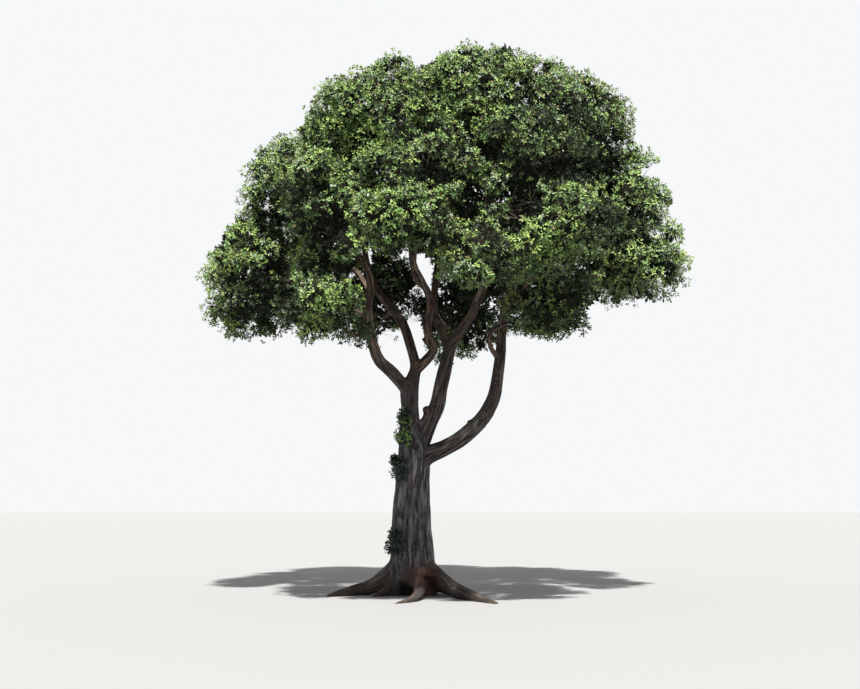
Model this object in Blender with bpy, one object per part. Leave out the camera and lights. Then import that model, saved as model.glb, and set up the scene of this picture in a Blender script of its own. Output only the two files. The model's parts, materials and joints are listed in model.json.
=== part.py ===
"""Evergreen oak tree with a domed crown: trunk with surface roots, boughs and masses of foliage.

Metres, +Z up. The origin is the middle of the flat cut under the trunk, at ground level.
-Y is the front, where the limbs show below the crown.

Every limb is a line: a list of (place, radius) pairs, bottom to top. A side limb's first
stretch, its collar, is fused to the limb that carries it, and the limb itself starts just
beyond. Each mass of foliage keeps to its own space: an egg round its centre, cut by planes
half-way to its neighbours.
"""

import itertools
import math
import random

import bmesh
import bpy
import numpy as np
from mathutils import Matrix, Vector

COLLECTION = "evergreen_oak_tree"
GAP = 0.0003  # left between pieces that meet
LEAD = 0.02  # straight stretch each side of a cut, so that both faces are square to the limb
SPACING = 0.26  # between the rings of a limb
HIDDEN_SPACING = 0.6  # the same on limbs inside the crown
GOLDEN_ANGLE = math.pi * (3 - math.sqrt(5))

BARK = ("bark", (0.13, 0.105, 0.09, 1), 0.92)
LEAF = ("leaf", (0.075, 0.115, 0.04, 1), 0.6)
SHOOT_LEAF = ("shoot_leaf", (0.03, 0.06, 0.035, 1), 0.6)

# The trunk and the limbs that show below the crown: x, y, z and radius along each.
TRUNK = [
    (0.00, 0.00, -0.30, 0.44),
    (0.00, 0.00, 0.05, 0.42),
    (0.01, 0.00, 0.55, 0.37),
    (0.00, 0.00, 1.25, 0.315),
    (0.01, 0.00, 1.75, 0.28),
    (0.03, 0.00, 2.10, 0.275),
    (0.03, 0.00, 2.35, 0.25),
    (-0.01, 0.00, 2.58, 0.20),
    (-0.03, 0.00, 2.80, 0.165),
]
# name: the limb it grows from, the height where it leaves that (None where it carries on
# from the limb's end), and its places. "into" is the mass its tip enters.
SHOWING = {
    "bough_left_stem": dict(
        parent="trunk",
        leaves=None,
        places=[
            (-0.03, 0.00, 3.06, 0.148),
            (-0.04, 0.00, 3.31, 0.155),
            (0.02, -0.02, 3.50, 0.115),
            (0.06, 0.00, 3.67, 0.095),
            (0.03, 0.03, 3.86, 0.085),
        ],
    ),
    "bough_left_outer": dict(
        parent="bough_left_stem",
        leaves=3.26,
        places=[
            (-0.31, -0.12, 3.57, 0.105),
            (-0.52, -0.25, 3.76, 0.098),
            (-0.61, -0.35, 3.96, 0.09),
            (-0.68, -0.45, 4.26, 0.078),
            (-0.69, -0.55, 4.61, 0.068),
            (-0.66, -0.68, 4.92, 0.062),
            (-0.72, -0.90, 5.17, 0.052),
        ],
        into="left_front",
    ),
    "bough_left_inner": dict(
        parent="bough_left_stem",
        leaves=None,
        places=[
            (-0.13, 0.20, 4.39, 0.08),
            (-0.29, 0.35, 4.65, 0.075),
            (-0.51, 0.50, 4.94, 0.07),
            (-0.67, 0.60, 5.19, 0.065),
            (-0.80, 0.62, 5.60, 0.058),
        ],
        into="upper_left",
    ),
    "bough_middle": dict(
        parent="bough_left_stem",
        leaves=3.62,
        places=[
            (0.22, -0.05, 3.78, 0.085),
            (0.36, -0.10, 3.96, 0.08),
            (0.29, -0.12, 4.16, 0.075),
            (0.25, -0.15, 4.36, 0.074),
            (0.31, -0.23, 4.68, 0.068),
            (0.24, -0.37, 4.93, 0.062),
            (0.02, -0.60, 5.28, 0.054),
        ],
        into="top_left",
    ),
    "bough_centre_stem": dict(
        parent="trunk",
        leaves=2.12,
        places=[
            (0.18, 0.05, 2.52, 0.15),
            (0.29, 0.10, 2.80, 0.145),
            (0.42, 0.15, 3.06, 0.135),
            (0.47, 0.15, 3.33, 0.12),
            (0.53, 0.12, 3.59, 0.12),
            (0.59, 0.10, 3.85, 0.108),
            (0.65, 0.07, 4.05, 0.10),
            (0.75, -0.02, 4.20, 0.086),
        ],
    ),
    "bough_centre_left": dict(
        parent="bough_centre_stem",
        leaves=3.95,
        places=[
            (0.52, 0.20, 4.29, 0.078),
            (0.42, 0.36, 4.52, 0.072),
            (0.37, 0.50, 4.78, 0.068),
            (0.40, 0.66, 5.30, 0.06),
            (0.50, 0.85, 6.10, 0.05),
        ],
        into="back_top",
    ),
    "bough_centre_right": dict(
        parent="bough_centre_stem",
        leaves=None,
        places=[
            (0.88, -0.17, 4.38, 0.08),
            (1.00, -0.31, 4.55, 0.077),
            (1.07, -0.45, 4.74, 0.074),
            (1.18, -0.68, 4.94, 0.068),
        ],
        into="right_upper_front",
    ),
    "bough_right_lower": dict(
        parent="trunk",
        leaves=2.06,
        places=[
            (0.30, -0.05, 2.25, 0.15),
            (0.50, -0.10, 2.33, 0.138),
            (0.78, -0.20, 2.48, 0.135),
            (1.04, -0.30, 2.70, 0.128),
            (1.21, -0.35, 2.90, 0.12),
        ],
    ),
    "bough_right_upper": dict(
        parent="bough_right_lower",
        leaves=None,
        places=[
            (1.33, -0.38, 3.15, 0.112),
            (1.39, -0.40, 3.45, 0.10),
            (1.45, -0.40, 3.93, 0.088),
            (1.47, -0.41, 4.25, 0.082),
            (1.58, -0.42, 4.80, 0.074),
            (1.90, -0.35, 5.70, 0.06),
        ],
        into="upper_right",
    ),
    "bough_right_low": dict(
        parent="bough_right_upper",
        leaves=3.74,
        places=[
            (1.27, -0.52, 3.97, 0.042),
            (1.28, -0.62, 4.19, 0.038),
        ],
        into="right_low",
    ),
}
# Limbs inside the crown: the mass each carries, the limb it grows from, the height where
# it leaves that, and its radius there.
INSIDE = {
    "left_front_low": ("bough_left_outer", 4.10, 0.042),
    "left_low": ("bough_left_outer", 4.42, 0.05),
    "left_shoulder": ("bough_left_outer", 4.80, 0.05),
    "back_low_left": ("bough_left_inner", 4.62, 0.042),
    "back_left_edge": ("bough_left_inner", 5.00, 0.048),
    "back_left": ("bough_left_inner", 5.45, 0.046),
    "centre_front": ("bough_middle", 4.86, 0.042),
    "centre_front_upper": ("bough_middle", 5.18, 0.042),
    "back_low_centre": ("bough_centre_left", 4.55, 0.045),
    "back_centre": ("bough_centre_left", 5.10, 0.046),
    "front_right_low": ("bough_centre_right", 4.58, 0.042),
    "top_front": ("bough_centre_right", 4.86, 0.046),
    "right_front": ("bough_right_upper", 4.45, 0.046),
    "back_low_right": ("bough_right_upper", 4.72, 0.045),
    "right_edge_low": ("bough_right_upper", 4.98, 0.045),
    "back_right_edge": ("bough_right_upper", 5.22, 0.045),
    "right_edge_upper": ("bough_right_upper", 5.48, 0.042),
    "back_right": ("bough_right_upper", 5.72, 0.045),
}
TIP_RADIUS = 0.026  # of a bough where it enters its mass

# The masses: centre, and reach along x, y and z.
MASSES = {
    "top_front": ((1.26, -0.80, 7.85), (1.43, 1.29, 1.04)),
    "top_left": ((-0.11, -0.66, 7.81), (1.06, 1.18, 0.96)),
    "upper_left": ((-1.07, -0.14, 7.54), (0.87, 1.18, 1.01)),
    "upper_right": ((2.71, -0.33, 7.49), (1.01, 1.23, 1.12)),
    "left_shoulder": ((-2.06, 0.10, 6.73), (0.84, 1.23, 0.95)),
    "left_low": ((-2.77, 0.05, 5.17), (0.76, 1.23, 1.12)),
    "left_front_low": ((-1.39, -1.65, 4.60), (0.74, 1.01, 0.78)),
    "left_front": ((-1.28, -1.83, 5.86), (0.90, 1.06, 0.84)),
    "centre_front_upper": ((0.22, -2.14, 6.49), (1.01, 1.06, 0.87)),
    "centre_front": ((-0.08, -2.91, 5.47), (0.84, 0.95, 0.62)),
    "front_right_low": ((1.08, -2.71, 5.04), (0.76, 0.95, 0.65)),
    "right_front": ((2.19, -2.31, 5.57), (0.99, 1.06, 0.84)),
    "right_upper_front": ((1.74, -1.96, 6.68), (1.01, 1.06, 0.84)),
    "right_edge_upper": ((3.54, -0.19, 6.54), (0.76, 1.18, 0.83)),
    "right_edge_low": ((3.77, -0.39, 5.42), (0.78, 1.23, 0.76)),
    "right_low": ((2.20, -1.02, 4.62), (0.80, 0.95, 0.66)),
    "back_low_centre": ((0.84, 2.60, 5.00), (1.01, 1.06, 0.95)),
    "back_low_left": ((-0.85, 2.26, 5.24), (0.90, 1.06, 0.95)),
    "back_low_right": ((2.38, 2.17, 5.33), (1.01, 1.12, 0.95)),
    "back_left": ((-1.22, 2.06, 6.92), (1.18, 1.23, 1.12)),
    "back_centre": ((0.70, 2.89, 6.87), (1.18, 1.06, 1.12)),
    "back_right": ((2.51, 2.01, 6.97), (1.18, 1.29, 1.12)),
    "back_top": ((0.65, 1.23, 8.10), (1.43, 1.34, 1.01)),
    "back_left_edge": ((-2.16, 1.60, 5.62), (0.95, 1.12, 1.01)),
    "back_right_edge": ((3.51, 1.65, 6.01), (0.95, 1.18, 1.01)),
}
MARGIN = 0.02  # each mass keeps this far from the plane to its neighbour
CORE_SHARES = (0.57, 0.84)  # a lumpy core's least and greatest reach, against its mass
CORE_TO_PLANE = 0.93  # the same towards a neighbour, at most
CORE_CLEARANCE = 0.03  # round a limb that runs past
TWIGS = 12  # tried for each mass, before those with no room are skipped
LONG_TWIG_EVERY = 4  # such a twig stands out of the core and has a pair of leaves
TWIG_SHARE = 0.53  # how far a twig's tip is from the centre, against the edge
LONG_TWIG_SHARE = 0.82
TWIG_RADII = (0.024, 0.018)
LEAF_REACH = 0.74  # the longest leaf, against the mass's mean reach
LEAF_TURNS = (0.6, 1.1)  # a leaf turns off its twig by this much, in radians
LEAF_WIDTH = 0.56  # against its length
LEAF_THICKNESS = 0.07
LEAF_SINK = 0.035  # how deep a leaf's root is sunk in its twig
PAIR_STEP = 0.06  # between the two leaves of a pair, along their twig
ROOM = 0.012  # a twig or leaf nearer than this to a limb is skipped
SEEDS = 12  # tried in turn for each mass

# Shoots on the bark of the trunk: height, angle round it from +X in degrees, and reach.
SHOOTS = {
    "shoots_upper": (2.64, 240, (0.17, 0.17, 0.32)),
    "shoots_middle": (2.01, 236, (0.19, 0.18, 0.20)),
    "shoots_low": (0.87, 234, (0.18, 0.18, 0.25)),
}
SHOOT_TWIGS = 8  # tried for each tuft

# Surface roots: the angle each runs out at, in degrees from +X, how far its tip is from
# the trunk's middle, its radius at the trunk, and how much it bends, in degrees.
ROOTS = [
    (184, 1.38, 0.170, 8),
    (-30, 2.00, 0.165, -22),
    (-60, 1.50, 0.130, -40),
    (12, 1.10, 0.130, -12),
    (58, 1.05, 0.140, 16),
    (98, 1.15, 0.150, -16),
    (140, 1.10, 0.145, 14),
]


def remove_start_scene():
    for obj in list(bpy.data.objects):
        bpy.data.objects.remove(obj)


def material(name, colour, roughness):
    found = bpy.data.materials.get(name) or bpy.data.materials.new(name)
    found.use_nodes = True
    shader = found.node_tree.nodes["Principled BSDF"]
    shader.inputs["Base Color"].default_value = colour
    shader.inputs["Roughness"].default_value = roughness
    shader.inputs["Metallic"].default_value = 0
    return found


def add_object(name, mesh):
    obj = bpy.data.objects.new(name, mesh)
    bpy.context.scene.collection.objects.link(obj)
    return obj


# Lines


def smooth(places, spacing, before=None, after=None):
    """A line through the places on a Catmull-Rom curve, radius and all."""
    knots = [np.array(p, float) for p in places]
    first = 2 * knots[0] - knots[1] if before is None else np.array(before, float)
    last = 2 * knots[-1] - knots[-2] if after is None else np.array(after, float)
    knots = [first, *knots, last]
    line = []
    for a, b, c, d in zip(knots, knots[1:], knots[2:], knots[3:]):
        steps = max(1, round(float(np.linalg.norm((c - b)[:3])) / spacing))
        for step in range(steps):
            t = step / steps
            line.append(
                0.5
                * (2 * b + (c - a) * t + (2 * a - 5 * b + 4 * c - d) * t**2)
                + 0.5 * (3 * b - a - 3 * c + d) * t**3
            )
    line.append(knots[-2])
    return [(Vector(row[:3]), float(row[3])) for row in line]


def length_of(line):
    return sum((b[0] - a[0]).length for a, b in zip(line, line[1:]))


def at_distance(line, distance):
    """Place, radius and direction at this distance along a line."""
    for (a, ra), (b, rb) in zip(line, line[1:]):
        step = (b - a).length
        if distance <= step:
            share = distance / step
            return a.lerp(b, share), ra + (rb - ra) * share, (b - a).normalized()
        distance -= step
    direction = (line[-1][0] - line[-2][0]).normalized()
    return line[-1][0], line[-1][1], direction


def at_height(line, height):
    """Distance along a line where it first reaches this height."""
    along = 0
    for (a, _), (b, _) in zip(line, line[1:]):
        if a.z <= height <= b.z:
            return along + (b - a).length * (height - a.z) / (b.z - a.z)
        along += (b - a).length
    raise ValueError(f"no height {height} on this line")


def split(line, distance):
    """Cuts a line in two, with square faces a gap apart."""
    place, radius, direction = at_distance(line, distance)
    lower, upper, along = [], [], 0
    for index, knot in enumerate(line):
        if index:
            along += (knot[0] - line[index - 1][0]).length
        if along < distance - 2 * LEAD:
            lower.append(knot)
        elif along > distance + 2 * LEAD:
            upper.append(knot)
    half = direction * GAP / 2
    lead = direction * LEAD
    lower += [(place - lead, radius), (place - half, radius)]
    upper = [(place + half, radius), (place + lead, radius)] + upper
    return lower, upper


def longer(line):
    """The same line with both ends drawn out, so that a cutter spans the cuts in limbs."""
    (a, start), (b, _) = line[:2]
    (c, _), (d, end) = line[-2:]
    first = a + (a - b).normalized() * CORE_CLEARANCE
    last = d + (d - c).normalized() * CORE_CLEARANCE
    return [(first, start), *line, (last, end)]


def room(points, lines):
    """How far each point lies outside the nearest of these limbs."""
    pairs = [pair for line in lines for pair in zip(line, line[1:])]
    start = np.array([a[0] for a, b in pairs])
    end = np.array([b[0] for a, b in pairs])
    thick = np.array([[a[1], b[1]] for a, b in pairs])
    span = end - start
    points = np.atleast_2d(np.array(points, float))[:, None, :]
    share = ((points - start) * span).sum(2) / np.maximum((span**2).sum(1), 1e-12)
    share = np.clip(share, 0, 1)
    nearest = start + share[..., None] * span
    radius = thick[:, 0] + (thick[:, 1] - thick[:, 0]) * share
    return (np.linalg.norm(points - nearest, axis=2) - radius).min(1)


def ring(place, radius, direction, count=8):
    side = direction.orthogonal().normalized()
    other = direction.cross(side)
    turns = [2 * math.pi * k / count for k in range(count)]
    return [place + radius * (side * math.cos(t) + other * math.sin(t)) for t in turns]


def collar_length(line, parent):
    """How far along a side limb its whole section is clear of the limb that carries it."""
    distance = 0.05
    while distance < length_of(line) / 2:
        place, radius, direction = at_distance(line, distance)
        if room(ring(place, radius, direction), [parent]).min() > 0.012:
            return distance
        distance += 0.02
    return distance


# Solids


def tube(name, line, sides=8, more=0.0):
    """A closed mesh round a line, with flat ends. more widens it, for a cutter."""
    curve = bpy.data.curves.new(name, "CURVE")
    curve.dimensions = "3D"
    curve.bevel_depth = 1.0
    curve.bevel_resolution = (sides - 4) // 2
    curve.use_fill_caps = True
    spline = curve.splines.new("POLY")
    spline.points.add(len(line) - 1)
    for knot, (place, radius) in zip(spline.points, line):
        knot.co = (*place, 1)
        knot.radius = radius + more
    guide = add_object(name + "_guide", curve)
    graph = bpy.context.evaluated_depsgraph_get()
    mesh = bpy.data.meshes.new_from_object(guide.evaluated_get(graph))
    bpy.data.objects.remove(guide)
    welded = bmesh.new()
    welded.from_mesh(mesh)
    bmesh.ops.remove_doubles(welded, verts=welded.verts, dist=1e-5)
    welded.to_mesh(mesh)
    welded.free()
    return add_object(name, mesh)


def frame(start, end, normal):
    """Matrix whose Z runs from start to end, with its origin half-way."""
    axis = (end - start).normalized()
    side = axis.cross(normal).normalized()
    turn = Matrix((side, axis.cross(side), axis)).transposed().to_4x4()
    return Matrix.Translation((start + end) / 2) @ turn


def twig_mesh(start, end, radii):
    """A three-sided tapering twig."""
    shape = bmesh.new()
    bmesh.ops.create_cone(
        shape,
        cap_ends=True,
        segments=3,
        radius1=radii[0],
        radius2=radii[1],
        depth=(end - start).length,
        matrix=frame(start, end, (end - start).orthogonal()),
    )
    return shape


def leaf_mesh(root, tip, normal, width):
    """A thin eight-faced leaf, widest beyond its middle."""
    length = (tip - root).length
    shape = bmesh.new()
    bmesh.ops.create_uvsphere(shape, u_segments=4, v_segments=2, radius=0.5)
    for vertex in shape.verts:
        if abs(vertex.co.z) < 0.1:
            vertex.co.z = 0.09
    size = (length * width, length * LEAF_THICKNESS, length)
    stretch = Matrix.Diagonal((*size, 1))
    bmesh.ops.transform(
        shape, matrix=frame(root, tip, normal) @ stretch, verts=shape.verts
    )
    return shape


def object_from(name, shape):
    bmesh.ops.recalc_face_normals(shape, faces=shape.faces)
    mesh = bpy.data.meshes.new(name)
    shape.to_mesh(mesh)
    shape.free()
    return add_object(name, mesh)


def apply_boolean(obj, operation, others, solver):
    """Joins others to obj, or cuts them from it, and removes them."""
    group = bpy.data.collections.new("joined")
    for other in others:
        group.objects.link(other)
    modifier = obj.modifiers.new("join", "BOOLEAN")
    modifier.operation = operation
    modifier.operand_type = "COLLECTION"
    modifier.collection = group
    modifier.solver = solver
    graph = bpy.context.evaluated_depsgraph_get()
    mesh = bpy.data.meshes.new_from_object(obj.evaluated_get(graph))
    obj.modifiers.clear()
    obj.data = mesh
    bpy.data.collections.remove(group)
    for other in others:
        bpy.data.objects.remove(other)


def clean(obj):
    """Makes all faces triangles and drops loose scraps and the walls of sealed hollows.

    Says whether the surface is sound, with two faces at every edge.
    """
    shape = bmesh.new()
    shape.from_mesh(obj.data)
    bmesh.ops.remove_doubles(shape, verts=shape.verts, dist=1e-5)
    bmesh.ops.dissolve_limit(
        shape, angle_limit=0.002, verts=shape.verts, edges=shape.edges
    )
    idle = [vertex for vertex in shape.verts if len(vertex.link_edges) == 2]
    bmesh.ops.dissolve_verts(shape, verts=idle)
    bmesh.ops.triangulate(shape, faces=shape.faces)
    left = set(shape.faces)
    shells = []
    while left:
        shell, edge = set(), [left.pop()]
        while edge:
            face = edge.pop()
            shell.add(face)
            for side in face.edges:
                for near in side.link_faces:
                    if near in left:
                        left.discard(near)
                        edge.append(near)
        corners = [[v.co for v in face.verts] for face in shell]
        volume = sum(a.dot(b.cross(c)) for a, b, c in corners) / 6
        shells.append((volume, shell))
    shells.sort(key=lambda found: found[0])
    for _, shell in shells[:-1]:
        bmesh.ops.delete(shape, geom=list(shell), context="FACES")
    sound = all(len(edge.link_faces) == 2 for edge in shape.edges)
    shape.to_mesh(obj.data)
    shape.free()
    return sound


def finish(obj, look, smooth_angle=40):
    name, colour, roughness = look
    obj.data.materials.clear()
    obj.data.materials.append(material(name, colour, roughness))
    obj.data.shade_smooth()
    obj.data.set_sharp_from_angle(angle=math.radians(smooth_angle))
    bpy.data.collections[COLLECTION].objects.link(obj)
    bpy.context.scene.collection.objects.unlink(obj)


# Spaces of the masses


def support(reach, direction):
    return math.sqrt(sum((r * d) ** 2 for r, d in zip(reach, direction)))


def space_planes(name):
    """(direction, distance) of each plane that bounds this mass's space."""
    centre, reach = MASSES[name]
    planes = []
    for other, (place, wide) in MASSES.items():
        if other == name:
            continue
        apart = Vector(place) - Vector(centre)
        direction = apart.normalized()
        own, its = support(reach, direction), support(wide, direction)
        if apart.length < own + its:
            planes.append((direction, apart.length * own / (own + its) - MARGIN))
    return planes


def edge_along(reach, planes, direction):
    """Distance from a mass's centre to the edge of its space."""
    edge = 1 / math.sqrt(sum((d / r) ** 2 for r, d in zip(reach, direction)))
    for normal, distance in planes:
        slope = normal.dot(direction)
        if slope > 1e-6:
            edge = min(edge, distance / slope)
    return edge


def way_to_edge(start, aim, centre, reach, planes):
    """How far it is from a place inside a space to its edge, along this direction."""
    from_middle = [(s - c) / r for s, c, r in zip(start, centre, reach)]
    slopes = [a / r for a, r in zip(aim, reach)]
    a = sum(d * d for d in slopes)
    b = sum(f * d for f, d in zip(from_middle, slopes))
    c = sum(f * f for f in from_middle) - 1
    far = (-b + math.sqrt(max(0, b * b - a * c))) / a
    for normal, distance in planes:
        slope = normal.dot(aim)
        if slope > 1e-6:
            far = min(far, (distance - normal.dot(start - centre)) / slope)
    return far


def inside(point, centre, reach, planes):
    offset = point - centre
    if sum((o / r) ** 2 for o, r in zip(offset, reach)) > 1.0:
        return False
    return all(normal.dot(offset) < distance for normal, distance in planes)


def even_directions(count, turn):
    """Directions spread evenly over a sphere, on a spiral."""
    for index in range(count):
        height = 1 - (2 * index + 1) / count
        around = index * GOLDEN_ANGLE + turn
        flat = math.sqrt(1 - height * height)
        yield Vector((flat * math.cos(around), flat * math.sin(around), height))


# The limbs


def mass_entry(name, origin):
    """Where a limb from this origin enters the mass, and the way in."""
    centre, reach = Vector(MASSES[name][0]), MASSES[name][1]
    outwards = (origin - centre).normalized()
    edge = edge_along(reach, space_planes(name), outwards)
    return centre + outwards * edge, -outwards


def curved_places(start, heading, end, arrival, radii, count=4):
    """Places on a cubic curve from start to end, tapering between the radii."""
    reach = (end - start).length / 3
    a, b = start + heading * reach, end - arrival * reach
    places = []
    for step in range(count + 1):
        t = step / count
        s = 1 - t
        place = start * s**3 + a * 3 * s * s * t + b * 3 * s * t * t + end * t**3
        places.append((*place, radii[0] + (radii[1] - radii[0]) * t))
    return places


def plan_limbs():
    """The line of every limb, the collars that each carries, and the stem of every mass."""
    lines, collars, stems = {}, {"trunk": []}, {}
    follow = {plan["parent"]: plan for plan in SHOWING.values() if not plan["leaves"]}
    trunk_next = follow["trunk"]["places"][0]
    lines["trunk"] = smooth(TRUNK, SPACING, after=trunk_next)

    def enter(name, places, mass):
        last = Vector(places[-1][:3])
        entry, way = mass_entry(mass, last)
        centre = Vector(MASSES[mass][0])
        hub = entry.lerp(centre, 0.8)
        line = smooth([*places, (*entry, TIP_RADIUS)], SPACING, after=(*hub, 0.02))
        whole = line + [(entry + way * 3 * LEAD, TIP_RADIUS), (hub, TIP_RADIUS * 0.7)]
        lines[name], stems[mass] = split(whole, length_of(line))

    for name, plan in SHOWING.items():
        parent = lines[plan["parent"]]
        collars[name] = []
        if plan["leaves"] is None:
            place, radius, _ = at_distance(parent, length_of(parent))
            places = [(*place, radius), *plan["places"]]
            before = (*parent[-3][0], parent[-3][1])
        else:
            place, _, _ = at_distance(parent, at_height(parent, plan["leaves"]))
            places = [(*place, plan["places"][0][3]), *plan["places"]]
            before = None
        if "into" in plan:
            enter(name, places, plan["into"])
        else:
            ahead = follow[name]["places"][0] if name in follow else None
            lines[name] = smooth(places, SPACING, before, ahead)
        if plan["leaves"] is None:
            # Both ends face along one direction, square to the limb.
            ahead = lines[name][1][0]
            behind = parent[-2][0]
            way = (ahead - behind).normalized()
            end, radius = place, parent[-1][1]
            lines[plan["parent"]] = [
                *parent[:-1],
                (end - way * LEAD, radius),
                (end - way * GAP / 2, radius),
            ]
            lines[name] = [
                (end + way * GAP / 2, radius),
                (end + way * LEAD, radius),
                *lines[name][1:],
            ]
        else:
            reach = collar_length(lines[name], parent)
            lower, upper = split(lines[name], reach)
            collars[plan["parent"]].append(lower)
            lines[name] = upper

    for mass, (parent_name, height, radius) in INSIDE.items():
        name = "bough_" + mass
        parent = lines[parent_name]
        start, _, climb = at_distance(parent, at_height(parent, height))
        centre = Vector(MASSES[mass][0])
        aim = (centre - start).normalized()
        heading = (climb + 1.6 * aim).normalized()
        entry, way = mass_entry(mass, start.lerp(centre, 0.4) + Vector((0, 0, -0.25)))
        places = curved_places(start, heading, entry, way, (radius, TIP_RADIUS))
        line = smooth(places, HIDDEN_SPACING)
        hub = entry.lerp(centre, 0.8)
        whole = line + [(entry + way * 3 * LEAD, TIP_RADIUS), (hub, TIP_RADIUS * 0.7)]
        line, stems[mass] = split(whole, length_of(line))
        lower, lines[name] = split(line, collar_length(line, parent))
        collars[parent_name].append(lower)
        collars[name] = []
    return lines, collars, stems


def root_line(angle, reach, radius, bend):
    """From the side of the trunk down and out along the ground."""
    places = []
    for share, height, thick in (
        (0.00, 0.62, 0.55),
        (0.14, 0.35, 0.85),
        (0.34, 0.16, 0.90),
        (0.64, 0.07, 0.74),
        (1.00, -0.01, 0.38),
    ):
        out = 0.17 + (reach - 0.17) * share
        turn = math.radians(angle + bend * share)
        spot = (out * math.cos(turn), out * math.sin(turn), height)
        places.append((*spot, radius * thick))
    return smooth(places, 0.3)


def build_trunk(lines, collars):
    trunk = tube("trunk", lines["trunk"], sides=12)
    pieces = [tube("collar", line, sides=8) for line in collars["trunk"]]
    pieces += [tube("root", root_line(*root), sides=6) for root in ROOTS]
    apply_boolean(trunk, "UNION", pieces, "EXACT")
    shape = bmesh.new()
    shape.from_mesh(trunk.data)
    bmesh.ops.bisect_plane(
        shape,
        geom=[*shape.verts, *shape.edges, *shape.faces],
        plane_co=(0, 0, 0),
        plane_no=(0, 0, -1),
        clear_outer=True,
    )
    rim = [edge for edge in shape.edges if edge.is_boundary]
    bmesh.ops.holes_fill(shape, edges=rim)
    shape.to_mesh(trunk.data)
    shape.free()
    clean(trunk)
    finish(trunk, BARK)
    return trunk


def build_boughs(lines, collars):
    for name, line in lines.items():
        if name == "trunk":
            continue
        bough = tube(name, line, sides=8 if name in SHOWING else 6)
        pieces = [tube("collar", collar, sides=6) for collar in collars[name]]
        if pieces:
            apply_boolean(bough, "UNION", pieces, "EXACT")
            clean(bough)
        finish(bough, BARK)


# The foliage


def core_object(name, centre, reach, planes, chance, limbs):
    """The dense middle of a mass, lumpy and cut clear of limbs that run past."""
    shape = bmesh.new()
    bmesh.ops.create_icosphere(shape, subdivisions=2, radius=1)
    for vertex in shape.verts:
        way = vertex.co.normalized()
        free = edge_along(reach, [], way) * chance.uniform(*CORE_SHARES)
        held = edge_along(reach, planes, way) * CORE_TO_PLANE
        vertex.co = centre + way * min(free, held)
    core = object_from(name, shape)
    near = []
    for line in limbs:
        if room([centre], [line]).min() < max(reach) + CORE_CLEARANCE:
            near.append(tube("cutter", longer(line), sides=8, more=CORE_CLEARANCE))
    if near:
        apply_boolean(core, "DIFFERENCE", near, "EXACT")
    return core


def grow_twigs(centre, reach, planes, stem, chance):
    """(root, tip, way out, leaves) of each twig of a mass, by the tree's one rule."""
    entry, hub = stem[0][0], stem[-1][0]
    back = (entry - centre).normalized()
    number = chance.randrange(LONG_TWIG_EVERY)
    for way in even_directions(TWIGS, chance.uniform(0, 2 * math.pi)):
        way = (way + Vector([chance.uniform(-0.12, 0.12) for _ in range(3)])).normalized()
        fork = entry.lerp(hub, chance.uniform(0.6, 0.95))
        edge = edge_along(reach, planes, way)
        whole = edge_along(reach, [], way)
        if way.dot(back) > 0.72 or edge < 0.74 * whole:
            continue
        number += 1
        long = number % LONG_TWIG_EVERY == 0
        share = LONG_TWIG_SHARE if long else TWIG_SHARE
        yield fork, centre + way * edge * share, way, 2 if long else 1


def leaves_of(tip, way, centre, reach, planes, chance, count):
    """(root, tip, normal, width) of the leaves at a twig's tip, leaning over the core."""
    side = way.orthogonal().normalized()
    other = way.cross(side)
    start = chance.uniform(0, 2 * math.pi)
    longest = LEAF_REACH * sum(reach) / 3
    for index in range(count):
        around = start + 2 * math.pi * index / count
        lean = side * math.cos(around) + other * math.sin(around)
        turn = chance.uniform(*LEAF_TURNS)
        aim = way * math.cos(turn) + lean * math.sin(turn)
        foot = tip - way * PAIR_STEP * index
        length = min(longest, 0.985 * way_to_edge(foot, aim, centre, reach, planes))
        roll = lean.cross(way) * chance.uniform(-0.7, 0.7)
        normal = way + roll
        width = LEAF_WIDTH * chance.uniform(0.85, 1.15)
        yield foot - aim * LEAF_SINK, foot + aim * length, normal, width


def leaf_fits(shape, centre, reach, planes, limbs):
    corners = [vertex.co.copy() for vertex in shape.verts]
    # Leaf tips reach the very edge of the space, so they are tested a little short of it.
    held = all(inside(centre + (c - centre) * 0.985, centre, reach, planes) for c in corners)
    between = [
        a.lerp(b, step / 4)
        for a, b in itertools.combinations(corners, 2)
        for step in (1, 2, 3)
    ]
    return held and room(corners + between, limbs).min() > ROOM


def grow_mass(name, stem, limbs, own, seed):
    """A mass from one seed: its object, how many leaves it has, and whether it is sound."""
    centre, reach = Vector(MASSES[name][0]), MASSES[name][1]
    planes = space_planes(name)
    chance = random.Random(f"{name} {seed}")
    others = [line for other, line in limbs.items() if other != own]
    everything = list(limbs.values())
    body = core_object("foliage_" + name, centre, reach, planes, chance, others)
    twigs, leaves = [], []
    for root, tip, way, count in grow_twigs(centre, reach, planes, stem, chance):
        points = [root.lerp(tip, step / 8) for step in range(1, 9)]
        if room(points, others).min() < ROOM + TWIG_RADII[0]:
            continue
        twigs.append(object_from("twig", twig_mesh(root, tip, TWIG_RADII)))
        for leaf in leaves_of(tip, way, centre, reach, planes, chance, count):
            shape = leaf_mesh(*leaf)
            if leaf_fits(shape, centre, reach, planes, everything):
                leaves.append(object_from("leaf", shape))
            else:
                shape.free()
    count = len(leaves)
    pieces = [tube("stem", stem, sides=6), *twigs, *leaves]
    apply_boolean(body, "UNION", pieces, "EXACT")
    return body, count, clean(body)


def build_mass(name, stem, limbs, own):
    """Grows a mass from the first seed that gives a sound surface."""
    for seed in range(SEEDS):
        body, leaves, sound = grow_mass(name, stem, limbs, own, seed)
        if sound or seed == SEEDS - 1:
            break
        bpy.data.objects.remove(body)
    finish(body, LEAF, smooth_angle=20)
    return leaves, seed


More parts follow.
